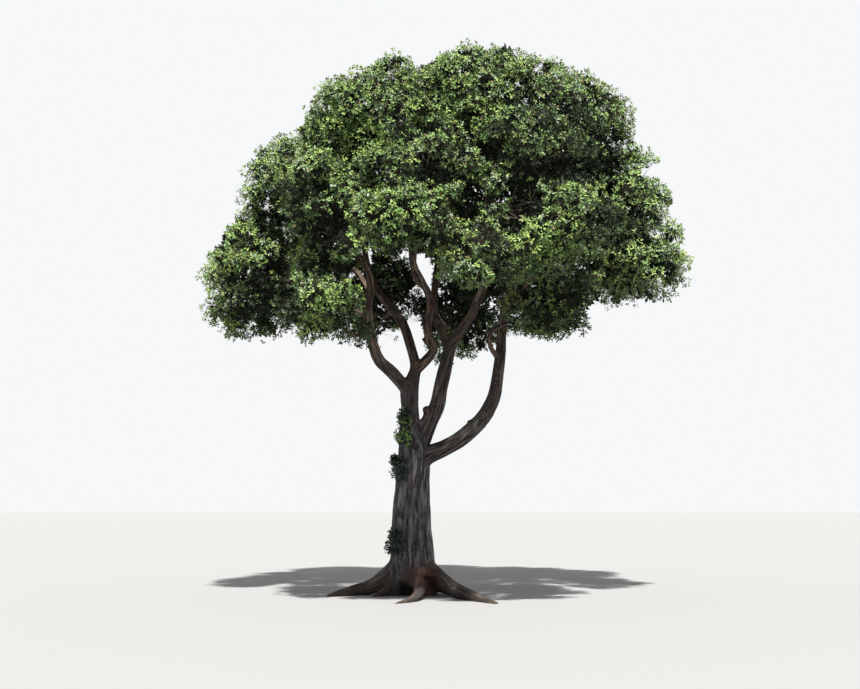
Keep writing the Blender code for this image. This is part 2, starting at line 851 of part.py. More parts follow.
def build_shoots(name, trunk, limbs):
    """A tuft of leafy shoots on the bark."""
    height, angle, reach = SHOOTS[name]
    line = limbs["trunk"]
    middle, radius, _ = at_distance(line, at_height(line, height))
    way = Vector((math.cos(math.radians(angle)), math.sin(math.radians(angle)), 0))
    centre = middle + way * (radius + reach[0] * 0.75)
    chance = random.Random("shoots " + name)
    stem = tube(name, [(middle + way * radius * 0.8, 0.02), (centre, 0.012)], sides=6)
    cutter = add_object("cutter", trunk.data.copy())
    modifier = cutter.modifiers.new("widen", "DISPLACE")
    modifier.strength, modifier.mid_level = 2 * GAP, 0
    apply_boolean(stem, "DIFFERENCE", [cutter], "EXACT")
    pieces = []
    for out in even_directions(SHOOT_TWIGS, chance.uniform(0, 6)):
        if out.dot(way) < -0.3:
            continue
        tip = centre + out * edge_along(reach, [], out) * 0.28
        pieces.append(object_from("twig", twig_mesh(centre, tip, (0.009, 0.006))))
        end = centre + out * edge_along(reach, [], out)
        normal = (out + Vector((0, 0, 1.2))).normalized()
        shape = leaf_mesh(tip - out * 0.012, end, normal, LEAF_WIDTH)
        if room([v.co for v in shape.verts], limbs.values()).min() > 0.02:
            pieces.append(object_from("leaf", shape))
        else:
            shape.free()
    apply_boolean(stem, "UNION", pieces, "EXACT")
    clean(stem)
    finish(stem, SHOOT_LEAF, smooth_angle=20)


def build_tree():
    remove_start_scene()
    group = bpy.data.collections.new(COLLECTION)
    bpy.context.scene.collection.children.link(group)
    lines, collars, stems = plan_limbs()
    trunk = build_trunk(lines, collars)
    build_boughs(lines, collars)
    limbs = dict(lines)
    for parent, found in collars.items():
        for number, collar in enumerate(found):
            limbs[f"{parent} collar {number}"] = collar
    carriers = {plan["into"]: name for name, plan in SHOWING.items() if "into" in plan}
    carriers.update({mass: "bough_" + mass for mass in INSIDE})
    for mass, stem in stems.items():
        leaves, seed = build_mass(mass, stem, limbs, carriers[mass])
        print(mass, "leaves", leaves, "seed", seed)
    for shoots in SHOOTS:
        build_shoots(shoots, trunk, limbs)


build_tree()
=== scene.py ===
import json
import math

import bpy
import numpy as np
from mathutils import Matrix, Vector, noise

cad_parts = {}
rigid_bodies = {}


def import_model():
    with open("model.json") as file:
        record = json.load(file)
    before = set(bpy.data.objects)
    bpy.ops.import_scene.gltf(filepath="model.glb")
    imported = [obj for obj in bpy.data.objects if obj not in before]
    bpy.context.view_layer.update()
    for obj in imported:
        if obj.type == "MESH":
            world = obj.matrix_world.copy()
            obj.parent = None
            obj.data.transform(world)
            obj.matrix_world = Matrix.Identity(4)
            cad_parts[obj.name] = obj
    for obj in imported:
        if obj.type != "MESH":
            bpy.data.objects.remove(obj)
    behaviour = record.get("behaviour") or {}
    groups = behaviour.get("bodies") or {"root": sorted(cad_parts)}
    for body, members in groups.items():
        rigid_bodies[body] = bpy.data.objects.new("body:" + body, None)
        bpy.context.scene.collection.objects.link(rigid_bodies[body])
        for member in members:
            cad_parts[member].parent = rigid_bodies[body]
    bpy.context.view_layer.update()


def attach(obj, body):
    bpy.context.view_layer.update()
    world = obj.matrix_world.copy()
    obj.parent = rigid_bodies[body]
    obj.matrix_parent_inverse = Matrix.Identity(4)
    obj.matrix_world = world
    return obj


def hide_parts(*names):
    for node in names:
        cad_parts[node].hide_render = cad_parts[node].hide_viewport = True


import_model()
up = np.array([0.0, 0.0, 1.0])
goldenAngle = math.pi * (3 - math.sqrt(5))

# x, y, z and radius along the trunk, from below the ground cut to where the left stem goes on
trunkPlaces = [
    (0, 0, -0.3, 0.44), (0, 0, 0.05, 0.42), (0.01, 0, 0.55, 0.37),
    (0, 0, 1.25, 0.315), (0.01, 0, 1.75, 0.28), (0.03, 0, 2.1, 0.275),
    (0.03, 0, 2.35, 0.25), (-0.01, 0, 2.58, 0.2), (-0.03, 0, 2.8, 0.165),
]


def plannedLimb(parent, leaves, into, places):
    return {"parent": parent, "leaves": leaves, "into": into, "places": places}


# limbs that show: what each grows from, the height where it leaves that (None carries on from
# the end), the mass of foliage that its tip enters, and its places
showingLimbs = {
    "bough_left_stem": plannedLimb("trunk", None, None, [
        (-0.03, 0, 3.06, 0.148), (-0.04, 0, 3.31, 0.155), (0.02, -0.02, 3.5, 0.115),
        (0.06, 0, 3.67, 0.095), (0.03, 0.03, 3.86, 0.085),
    ]),
    "bough_left_outer": plannedLimb("bough_left_stem", 3.26, "left_front", [
        (-0.31, -0.12, 3.57, 0.105), (-0.52, -0.25, 3.76, 0.098), (-0.61, -0.35, 3.96, 0.09),
        (-0.68, -0.45, 4.26, 0.078), (-0.69, -0.55, 4.61, 0.068), (-0.66, -0.68, 4.92, 0.062),
        (-0.72, -0.9, 5.17, 0.052),
    ]),
    "bough_left_inner": plannedLimb("bough_left_stem", None, "upper_left", [
        (-0.13, 0.2, 4.39, 0.08), (-0.29, 0.35, 4.65, 0.075), (-0.51, 0.5, 4.94, 0.07),
        (-0.67, 0.6, 5.19, 0.065), (-0.8, 0.62, 5.6, 0.058),
    ]),
    "bough_middle": plannedLimb("bough_left_stem", 3.62, "top_left", [
        (0.22, -0.05, 3.78, 0.085), (0.36, -0.1, 3.96, 0.08), (0.29, -0.12, 4.16, 0.075),
        (0.25, -0.15, 4.36, 0.074), (0.31, -0.23, 4.68, 0.068), (0.24, -0.37, 4.93, 0.062),
        (0.02, -0.6, 5.28, 0.054),
    ]),
    "bough_centre_stem": plannedLimb("trunk", 2.12, None, [
        (0.18, 0.05, 2.52, 0.15), (0.29, 0.1, 2.8, 0.145), (0.42, 0.15, 3.06, 0.135),
        (0.47, 0.15, 3.33, 0.12), (0.53, 0.12, 3.59, 0.12), (0.59, 0.1, 3.85, 0.108),
        (0.65, 0.07, 4.05, 0.1), (0.75, -0.02, 4.2, 0.086),
    ]),
    "bough_centre_left": plannedLimb("bough_centre_stem", 3.95, "back_top", [
        (0.52, 0.2, 4.29, 0.078), (0.42, 0.36, 4.52, 0.072), (0.37, 0.5, 4.78, 0.068),
        (0.4, 0.66, 5.3, 0.06), (0.5, 0.85, 6.1, 0.05),
    ]),
    "bough_centre_right": plannedLimb("bough_centre_stem", None, "right_upper_front", [
        (0.88, -0.17, 4.38, 0.08), (1, -0.31, 4.55, 0.077), (1.07, -0.45, 4.74, 0.074),
        (1.18, -0.68, 4.94, 0.068),
    ]),
    "bough_right_lower": plannedLimb("trunk", 2.06, None, [
        (0.3, -0.05, 2.25, 0.15), (0.5, -0.1, 2.33, 0.138), (0.78, -0.2, 2.48, 0.135),
        (1.04, -0.3, 2.7, 0.128), (1.21, -0.35, 2.9, 0.12),
    ]),
    "bough_right_upper": plannedLimb("bough_right_lower", None, "upper_right", [
        (1.33, -0.38, 3.15, 0.112), (1.39, -0.4, 3.45, 0.1), (1.45, -0.4, 3.93, 0.088),
        (1.47, -0.41, 4.25, 0.082), (1.58, -0.42, 4.8, 0.074), (1.9, -0.35, 5.7, 0.06),
    ]),
    "bough_right_low": plannedLimb("bough_right_upper", 3.74, "right_low", [
        (1.27, -0.52, 3.97, 0.042), (1.28, -0.62, 4.19, 0.038),
    ]),
}

# limbs inside the crown, by the mass each carries: what it grows from, at what height, how thick
innerLimbs = {
    "left_front_low": ("bough_left_outer", 4.10, 0.042),
    "left_low": ("bough_left_outer", 4.42, 0.05),
    "left_shoulder": ("bough_left_outer", 4.80, 0.05),
    "back_low_left": ("bough_left_inner", 4.62, 0.042),
    "back_left_edge": ("bough_left_inner", 5.00, 0.048),
    "back_left": ("bough_left_inner", 5.45, 0.046),
    "centre_front": ("bough_middle", 4.86, 0.042),
    "centre_front_upper": ("bough_middle", 5.18, 0.042),
    "back_low_centre": ("bough_centre_left", 4.55, 0.045),
    "back_centre": ("bough_centre_left", 5.10, 0.046),
    "front_right_low": ("bough_centre_right", 4.58, 0.042),
    "top_front": ("bough_centre_right", 4.86, 0.046),
    "right_front": ("bough_right_upper", 4.45, 0.046),
    "back_low_right": ("bough_right_upper", 4.72, 0.045),
    "right_edge_low": ("bough_right_upper", 4.98, 0.045),
    "back_right_edge": ("bough_right_upper", 5.22, 0.045),
    "right_edge_upper": ("bough_right_upper", 5.48, 0.042),
    "back_right": ("bough_right_upper", 5.72, 0.045),
}
tipRadius = 0.026

# centre and reach of each mass of foliage
masses = {
    "top_front": ((1.26, -0.8, 7.85), (1.43, 1.29, 1.04)),
    "top_left": ((-0.11, -0.66, 7.81), (1.06, 1.18, 0.96)),
    "upper_left": ((-1.07, -0.14, 7.54), (0.87, 1.18, 1.01)),
    "upper_right": ((2.71, -0.33, 7.49), (1.01, 1.23, 1.12)),
    "left_shoulder": ((-2.06, 0.1, 6.73), (0.84, 1.23, 0.95)),
    "left_low": ((-2.77, 0.05, 5.17), (0.76, 1.23, 1.12)),
    "left_front_low": ((-1.39, -1.65, 4.6), (0.74, 1.01, 0.78)),
    "left_front": ((-1.28, -1.83, 5.86), (0.9, 1.06, 0.84)),
    "centre_front_upper": ((0.22, -2.14, 6.49), (1.01, 1.06, 0.87)),
    "centre_front": ((-0.08, -2.91, 5.47), (0.84, 0.95, 0.62)),
    "front_right_low": ((1.08, -2.71, 5.04), (0.76, 0.95, 0.65)),
    "right_front": ((2.19, -2.31, 5.57), (0.99, 1.06, 0.84)),
    "right_upper_front": ((1.74, -1.96, 6.68), (1.01, 1.06, 0.84)),
    "right_edge_upper": ((3.54, -0.19, 6.54), (0.76, 1.18, 0.83)),
    "right_edge_low": ((3.77, -0.39, 5.42), (0.78, 1.23, 0.76)),
    "right_low": ((2.2, -1.02, 4.62), (0.8, 0.95, 0.66)),
    "back_low_centre": ((0.84, 2.6, 5), (1.01, 1.06, 0.95)),
    "back_low_left": ((-0.85, 2.26, 5.24), (0.9, 1.06, 0.95)),
    "back_low_right": ((2.38, 2.17, 5.33), (1.01, 1.12, 0.95)),
    "back_left": ((-1.22, 2.06, 6.92), (1.18, 1.23, 1.12)),
    "back_centre": ((0.7, 2.89, 6.87), (1.18, 1.06, 1.12)),
    "back_right": ((2.51, 2.01, 6.97), (1.18, 1.29, 1.12)),
    "back_top": ((0.65, 1.23, 8.1), (1.43, 1.34, 1.01)),
    "back_left_edge": ((-2.16, 1.6, 5.62), (0.95, 1.12, 1.01)),
    "back_right_edge": ((3.51, 1.65, 6.01), (0.95, 1.18, 1.01)),
}
massMargin = 0.02  # each mass stops this far short of the plane to its neighbour


# lines: lists of (place, radius), bottom to top


def smoothLine(places, spacing, before=None, after=None):
    knots = [np.array(p, float) for p in places]
    first = 2 * knots[0] - knots[1] if before is None else np.array(before, float)
    last = 2 * knots[-1] - knots[-2] if after is None else np.array(after, float)
    knots = [first, *knots, last]
    line = []
    for a, b, c, d in zip(knots, knots[1:], knots[2:], knots[3:]):
        steps = max(1, round(float(np.linalg.norm((c - b)[:3])) / spacing))
        for step in range(steps):
            t = step / steps
            bend = (2 * a - 5 * b + 4 * c - d) * t**2 + (3 * b - a - 3 * c + d) * t**3
            line.append(0.5 * (2 * b + (c - a) * t + bend))
    line.append(knots[-2])
    return [(Vector(row[:3]), float(row[3])) for row in line]


def atHeight(line, height):  # place, radius and direction where a line first gets this high
    for (a, start), (b, end) in zip(line, line[1:]):
        if a.z <= height <= b.z:
            share = (height - a.z) / (b.z - a.z)
            return a.lerp(b, share), start + (end - start) * share, (b - a).normalized()
    raise ValueError(f"no height {height} on this line")


def support(reach, direction):
    return math.sqrt(sum((r * d) ** 2 for r, d in zip(reach, direction)))


def spacePlanes(name):  # the planes half-way to a mass's neighbours
    centre, reach = masses[name]
    planes = []
    for other, (place, wide) in masses.items():
        apart = Vector(place) - Vector(centre)
        if other == name:
            continue
        way = apart.normalized()
        own, its = support(reach, way), support(wide, way)
        if apart.length < own + its:
            planes.append((np.array(way), apart.length * own / (own + its) - massMargin))
    return planes


def edgeAlong(reach, planes, ways):  # from a mass's centre to the edge of its space
    edge = 1 / np.sqrt(((ways / np.array(reach)) ** 2).sum(1))
    for normal, distance in planes:
        slope = ways @ normal
        edge = np.where(slope > 1e-6, np.minimum(edge, distance / np.maximum(slope, 1e-6)), edge)
    return edge


def evenWays(count, turn):  # directions spread evenly over a sphere, on a spiral
    index = np.arange(count)
    height = 1 - (2 * index + 1) / count
    around = index * goldenAngle + turn
    flat = np.sqrt(1 - height**2)
    return np.stack([flat * np.cos(around), flat * np.sin(around), height], axis=1)


def unit(rows):
    return rows / np.maximum(np.linalg.norm(rows, axis=-1, keepdims=True), 1e-9)


def massEntry(name, origin):
    centre, reach = Vector(masses[name][0]), masses[name][1]
    outwards = (origin - centre).normalized()
    edge = edgeAlong(reach, spacePlanes(name), np.array([outwards]))[0]
    return centre + outwards * float(edge), -outwards


def curvedPlaces(start, heading, end, arrival, radii, count=6):
    reach = (end - start).length / 3
    a, b = start + heading * reach, end - arrival * reach
    places = []
    for step in range(count + 1):
        t = step / count
        s = 1 - t
        place = start * s**3 + a * 3 * s * s * t + b * 3 * s * t * t + end * t**3
        places.append((*place, radii[0] + (radii[1] - radii[0]) * t))
    return places


def planLimbs(spacing):
    lines, stems = {}, {}
    follow = {plan["parent"]: plan for plan in showingLimbs.values() if not plan["leaves"]}
    ahead = follow["trunk"]["places"][0]
    lines["trunk"] = smoothLine(trunkPlaces, spacing, after=ahead)
    for name, plan in showingLimbs.items():
        parent = lines[plan["parent"]]
        if plan["leaves"] is None:
            place, radius = parent[-1]
            places = [(*place, radius), *plan["places"]]
            before = (*parent[-2][0], parent[-2][1])
        else:
            place, _, _ = atHeight(parent, plan["leaves"])
            places = [(*place, plan["places"][0][3]), *plan["places"]]
            before = None
        if plan["into"]:
            entry, way = massEntry(plan["into"], Vector(places[-1][:3]))
            hub = entry.lerp(Vector(masses[plan["into"]][0]), 0.8)
            lines[name] = smoothLine(
                [*places, (*entry, tipRadius)], spacing, before, (*hub, 0.02)
            )
            stems[plan["into"]] = [(entry, tipRadius), (hub, tipRadius * 0.7)]
        else:
            after = follow[name]["places"][0] if name in follow else None
            lines[name] = smoothLine(places, spacing, before, after)
    for mass, (parentName, height, radius) in innerLimbs.items():
        start, _, climb = atHeight(lines[parentName], height)
        centre = Vector(masses[mass][0])
        heading = (climb + 1.6 * (centre - start).normalized()).normalized()
        entry, way = massEntry(mass, start.lerp(centre, 0.4) + Vector((0, 0, -0.25)))
        places = curvedPlaces(start, heading, entry, way, (radius, tipRadius))
        lines["bough_" + mass] = smoothLine(places, spacing)
        stems[mass] = [(entry, tipRadius), (entry.lerp(centre, 0.8), tipRadius * 0.7)]
    return lines, stems


def limbCoordinates(points, line):
    # how far each point lies outside a limb, its place across the limb, and how far along it is
    places = np.array([place for place, _ in line])
    radii = np.array([radius for _, radius in line])
    span = places[1:] - places[:-1]
    steps = np.linalg.norm(span, axis=1)
    ways = span / steps[:, None]
    side = np.array(Vector(ways[0]).orthogonal().normalized())
    sides = []
    for way in ways:
        side = side - way * (side @ way)
        side /= np.linalg.norm(side)
        sides.append(side.copy())
    sides = np.array(sides)
    others = np.cross(ways, sides)
    begin = np.concatenate([[0], np.cumsum(steps)[:-1]])
    found = []
    for part in np.array_split(points, max(1, len(points) // 8000)):
        rel = part[:, None] - places[:-1]
        share = np.clip((rel * span).sum(2) / steps**2, 0, 1)
        off = rel - share[..., None] * span
        gap = np.linalg.norm(off, axis=2) - (radii[:-1] + (radii[1:] - radii[:-1]) * share)
        best = gap.argmin(1)
        rows = np.arange(len(part))
        off, share = off[rows, best], share[rows, best]
        across = (off * sides[best]).sum(1), (off * others[best]).sum(1)
        thick = radii[best] + (radii[best + 1] - radii[best]) * share
        along = begin[best] + share * steps[best]
        found.append(np.stack([gap[rows, best], *across, along, thick], axis=1))
    return np.concatenate(found)


def roomRound(points, lines):  # distance from each point to the nearest of these limbs
    return np.min([limbCoordinates(points, line)[:, 0] for line in lines], axis=0)


# helpers for pieces


def deselect():
    bpy.ops.object.select_all(action="DESELECT")


def addMesh(name, points, faces):
    mesh = bpy.data.meshes.new(name)
    mesh.vertices.add(len(points))
    mesh.vertices.foreach_set("co", np.asarray(points, np.float32).ravel())
    mesh.loops.add(faces.size)
    mesh.loops.foreach_set("vertex_index", faces.astype(np.int32).ravel())
    mesh.polygons.add(len(faces))
    mesh.polygons.foreach_set("loop_start", np.arange(0, faces.size, faces.shape[1]))
    mesh.update(calc_edges=True)
    piece = bpy.data.objects.new(name, mesh)
    bpy.context.scene.collection.objects.link(piece)
    return piece


def shadeSmooth(piece):
    piece.data.polygons.foreach_set("use_smooth", np.ones(len(piece.data.polygons), bool))


def setAttributes(piece, **layers):
    for name, values in layers.items():
        values = np.asarray(values, float)
        kind, field = ("FLOAT_VECTOR", "vector") if values.ndim == 2 else ("FLOAT", "value")
        layer = piece.data.attributes.new(name, kind, "POINT")
        layer.data.foreach_set(field, values.ravel())


def pointsOf(mesh):
    points = np.empty(len(mesh.vertices) * 3)
    mesh.vertices.foreach_get("co", points)
    return points.reshape(-1, 3)


def dress(piece, material, nodes):
    piece.data.materials.clear()
    piece.data.materials.append(material)
    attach(piece, "root")
    if nodes:
        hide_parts(*nodes)


def plainMaterial(name, colour, roughness, gloss=0.5):
    material = bpy.data.materials.new(name)
    material.use_nodes = True
    shader = material.node_tree.nodes["Principled BSDF"]
    shader.inputs["Base Color"].default_value = (*colour, 1)
    shader.inputs["Roughness"].default_value = roughness
    shader.inputs["Specular IOR Level"].default_value = gloss
    return material


lines, stems = planLimbs(0.1)
print("limbs planned:", len(lines))


# the trunk, its surface roots and the limbs that show, one skin

wood = {
    "voxel": 0.018,
    "smoothing": 5,
    "baseSmoothing": 40,
    "baseTop": 0.80,  # the foot of the trunk is smoothed more, from here down
    "baseFade": 0.45,
    "fissureAcross": 0.062,  # metres between fissures, before the finer ones
    "fissureAlong": 0.52,
    "depth": 0.017,  # of a fissure on the trunk
    "depthPerRadius": 0.055,
    "lump": 0.05,  # slow swellings, against the radius
}
# angle, reach, radius at the trunk and bend of each surface root
surfaceRoots = [
    (184, 1.38, 0.17, 8), (-30, 2, 0.165, -22), (-60, 1.5, 0.13, -40),
    (12, 1.1, 0.13, -12), (58, 1.05, 0.14, 16), (98, 1.15, 0.15, -16), (140, 1.1, 0.145, 14),
]
# stubs where old limbs were cut: foot, end, radii
stubs = [
    ((-0.05, -0.05, 3.30), (-0.055, -0.10, 3.47), (0.10, 0.062)),
    ((0.98, -0.33, 2.66), (0.94, -0.38, 2.78), (0.075, 0.05)),
    ((0.27, 0.06, 2.94), (0.22, 0.02, 3.03), (0.09, 0.055)),
]
# lesser swellings between the surface roots
rootSwellings = [
    (206, 0.74, 0.11, 8), (268, 0.72, 0.105, 8), (-8, 0.85, 0.11, -10), (36, 0.75, 0.1, 8),
    (78, 0.78, 0.105, -6), (120, 0.8, 0.105, 8), (162, 0.8, 0.105, -8),
]
# hollows among the roots, dented in and painted near-black as shade: place, depth, width and how
# dark that painted shade is
rootHollows = [((-0.17, -0.47, 0.04), 0.20, 0.19, 1.0), ((0.27, -0.44, 0.23), 0.09, 0.10, 0.9)]
rustPlace = ((0.20, -0.42, 0.20), 0.30)
mossPlaces = [((0.98, -0.33, 2.83), 0.20), ((0.72, -0.20, 2.62), 0.12)]


def rootLine(angle, reach, radius, bend):
    places = []
    for share, height, thick in (
        (0.00, 0.62, 0.55),
        (0.14, 0.35, 0.85),
        (0.34, 0.16, 0.80),
        (0.50, 0.10, 0.68),
        (0.66, 0.055, 0.62),
        (0.83, 0.02, 0.48),
        (1.00, -0.02, 0.34),
    ):
        out = 0.17 + (reach - 0.17) * share
        turn = math.radians(angle + bend * share + 2.5 * math.sin(6 * share + angle))
        places.append((out * math.cos(turn), out * math.sin(turn), height, radius * thick))
    return smoothLine(places, 0.1)


def limbTube(name, line, sides=12):
    bpy.ops.curve.primitive_nurbs_path_add()
    guide = bpy.context.object
    guide.name = name
    guide.data.splines.clear()
    spline = guide.data.splines.new("POLY")
    spline.points.add(len(line) - 1)
    for knot, (place, radius) in zip(spline.points, line):
        knot.co = (*place, 1)
        knot.radius = radius
    guide.data.bevel_depth = 1.0
    guide.data.bevel_resolution = (sides - 4) // 2
    guide.data.use_fill_caps = True
    deselect()
    guide.select_set(True)
    bpy.ops.object.convert(target="MESH")
    return bpy.context.object


def barkRelief(points, skeleton):
    # how far the bark stands out, how open it is, and where each point lies on its limb
    found = [limbCoordinates(points, line) for line in skeleton]
    gaps = np.array([rows[:, 0] for rows in found])
    order = np.argsort(gaps, axis=0)[:2]
    count = len(points)
    relief, ridges, total = np.zeros(count), np.zeros(count), np.zeros(count)
    places = np.zeros((count, 3))
    thickness = np.zeros(count)
    for rank in (1, 0):
        index = order[rank]
        rows = np.array([found[i][k] for k, i in enumerate(index)])
        weight = np.exp(-(rows[:, 0] - gaps.min(0)) / 0.02)
        for k in range(count):
            _, x, y, along, radius = rows[k]
            shift = 7.3 * index[k]
            a, b = wood["fissureAcross"] * (0.45 + 1.6 * radius), wood["fissureAlong"]
            coarse = noise.noise((x / a, y / a, along / b + shift))
            fine = noise.noise((x / a * 2.3 + 5, y / a * 2.3, along / b * 1.5 + shift))
            slow = noise.noise((x * 2.6, y * 2.6, along * 1.5 + shift))
            ridge = 0.68 * min(1, abs(coarse) * 3.2) + 0.32 * min(1, abs(fine) * 2.6)
            depth = min(wood["depth"], wood["depthPerRadius"] * radius)
            relief[k] += weight[k] * (depth * (ridge - 0.62) + slow * wood["lump"] * radius)
            ridges[k] += weight[k] * ridge
            if rank == 0:
                places[k] = (x, y, along * 0.15 + shift)
                thickness[k] = radius
        total += weight
    return relief / total, ridges / total, places, thickness


def growWood():
    skeleton = [lines["trunk"]] + [lines[name] for name in showingLimbs]
    skeleton += [rootLine(*root) for root in surfaceRoots + rootSwellings]
    for foot, end, radii in stubs:
        skeleton.append([(Vector(foot), radii[0]), (Vector(end), radii[1])])
    tips = [plan["into"] for plan in showingLimbs.values() if plan["into"]]
    tubes = [limbTube("limb", line) for line in skeleton]
    tubes += [limbTube("limb", stems[mass], 8) for mass in tips]
    deselect()
    for tube in tubes:
        tube.select_set(True)
    piece = tubes[0]
    bpy.context.view_layer.objects.active = piece
    bpy.ops.object.join()
    piece.name = "trunk_and_limbs"
    bpy.ops.object.transform_apply(location=True, rotation=True, scale=True)
    remesh = piece.modifiers.new("skin", "REMESH")
    remesh.mode = "VOXEL"
    remesh.voxel_size = wood["voxel"]
    bpy.ops.object.modifier_apply(modifier="skin")
    mesh = piece.data
    count = len(mesh.vertices)
    base = np.clip((wood["baseTop"] - pointsOf(mesh)[:, 2]) / wood["baseFade"], 0, 1)
    group = piece.vertex_groups.new(name="base")
    for k in np.flatnonzero(base):
        group.add([int(k)], float(base[k]), "REPLACE")
    for name, turns in (("", wood["smoothing"]), ("base", wood["baseSmoothing"])):
        soften = piece.modifiers.new("soften", "SMOOTH")
        soften.factor, soften.iterations, soften.vertex_group = 0.5, turns, name
        bpy.ops.object.modifier_apply(modifier="soften")
    piece.vertex_groups.clear()

    points, normals = pointsOf(mesh), np.empty(count * 3)
    mesh.vertex_normals.foreach_get("vector", normals)
    normals = normals.reshape(-1, 3)
    relief, ridges, places, thickness = barkRelief(points, skeleton)
    # painted shade: the root hollows are darkened near to black
    black = np.zeros(count)
    for place, depth, width, dark in rootHollows:
        dent = np.exp(-((np.linalg.norm(points - np.array(place), axis=1) / width) ** 4))
        relief -= depth * dent
        black = np.maximum(black, dark * np.clip(dent * 1.6, 0, 1))
    rusty = np.linalg.norm(points - np.array(rustPlace[0]), axis=1) / rustPlace[1]
    stain = np.clip(1.3 - rusty, 0, 1)
    points = points + normals * relief[:, None]
    mesh.vertices.foreach_set("co", points.ravel())
    moss = np.zeros(count)
    for place, width in mossPlaces:
        near = np.clip(1.2 - np.linalg.norm(points - np.array(place), axis=1) / width, 0, 1)
        moss = np.maximum(moss, near * np.clip(normals[:, 2] * 1.5 + 0.3, 0, 1))
    setAttributes(piece, ridge=ridges, barkPlace=places, limbRadius=thickness)
    setAttributes(piece, stain=stain, black=black, moss=moss)

    # the flat cut at ground level
    bpy.ops.object.mode_set(mode="EDIT")
    bpy.ops.mesh.select_all(action="SELECT")
    bpy.ops.mesh.bisect(
        plane_co=(0, 0, 0.0005), plane_no=(0, 0, 1), use_fill=True, clear_inner=True
    )
    bpy.ops.mesh.select_all(action="SELECT")
    bpy.ops.mesh.normals_make_consistent(inside=False)
    bpy.ops.object.mode_set(mode="OBJECT")
    shadeSmooth(piece)
    return piece


def tubeShape(places, radii, sides):  # a closed tapering tube in triangles, its tip a point
    places = np.asarray(places, float)
    ways = unit(np.gradient(places, axis=0))
    side = np.array(Vector(ways[0]).orthogonal().normalized())
    turns = 2 * math.pi * np.arange(sides) / sides
    points = [places[0]]
    for place, way, radius in zip(places[:-1], ways, radii):
        side = unit(side - way * (side @ way))
        other = np.cross(way, side)
        ring = np.outer(np.cos(turns), side) + np.outer(np.sin(turns), other)
        points.extend(place + radius * ring)
    points.append(places[-1])
    faces = []
    rings = len(places) - 1
    for k in range(sides):
        j = (k + 1) % sides
        faces.append((0, 1 + j, 1 + k))
        for r in range(rings - 1):
            a, b = 1 + r * sides, 1 + (r + 1) * sides
            faces += [(a + k, a + j, b + j), (a + k, b + j, b + k)]
        last = 1 + (rings - 1) * sides
        faces.append((last + k, last + j, len(points) - 1))
    return np.array(points), np.array(faces)


def joinShapes(shapes):
    points, faces, start = [], [], 0
    for somePoints, someFaces in shapes:
        points.append(somePoints)
        faces.append(someFaces + start)
        start += len(somePoints)
    return np.concatenate(points), np.concatenate(faces)


def growInnerBoughs():
    shapes, ridges, places, thickness = [], [], [], []
    for number, mass in enumerate(innerLimbs):
        line = lines["bough_" + mass] + stems[mass][1:]
        points, faces = tubeShape([p for p, _ in line], [r for _, r in line], 9)
        found = limbCoordinates(points, line)
        for k, (_, x, y, along, radius) in enumerate(found):
            at = (x * 22, y * 22, along * 2.4 + number)
            slow = noise.noise((x * 5, y * 5, along * 2.2 + number * 3.7))
            ridge = min(1, abs(noise.noise(at)) * 3)
            grow = 1 + 0.16 * slow + 0.10 * (ridge - 0.6)
            middle = nearestOn(line, points[k])
            points[k] = middle + (points[k] - middle) * grow
            ridges.append(ridge)
            places.append((x, y, along * 0.15 + number))
            thickness.append(radius)
        shapes.append((points, faces))
    piece = addMesh("inner_boughs", *joinShapes(shapes))
    none = np.zeros(len(ridges))
    setAttributes(piece, ridge=ridges, barkPlace=places, limbRadius=thickness)
    setAttributes(piece, stain=none, black=none, moss=none)
    shadeSmooth(piece)
    return piece


def nearestOn(line, point):
    best, found = 1e9, None
    for (a, _), (b, _) in zip(line, line[1:]):
        span = np.array(b - a)
        share = min(1, max(0, (point - np.array(a)) @ span / (span @ span)))
        spot = np.array(a) + span * share
        far = np.linalg.norm(point - spot)
        if far < best:
            best, found = far, spot
    return found


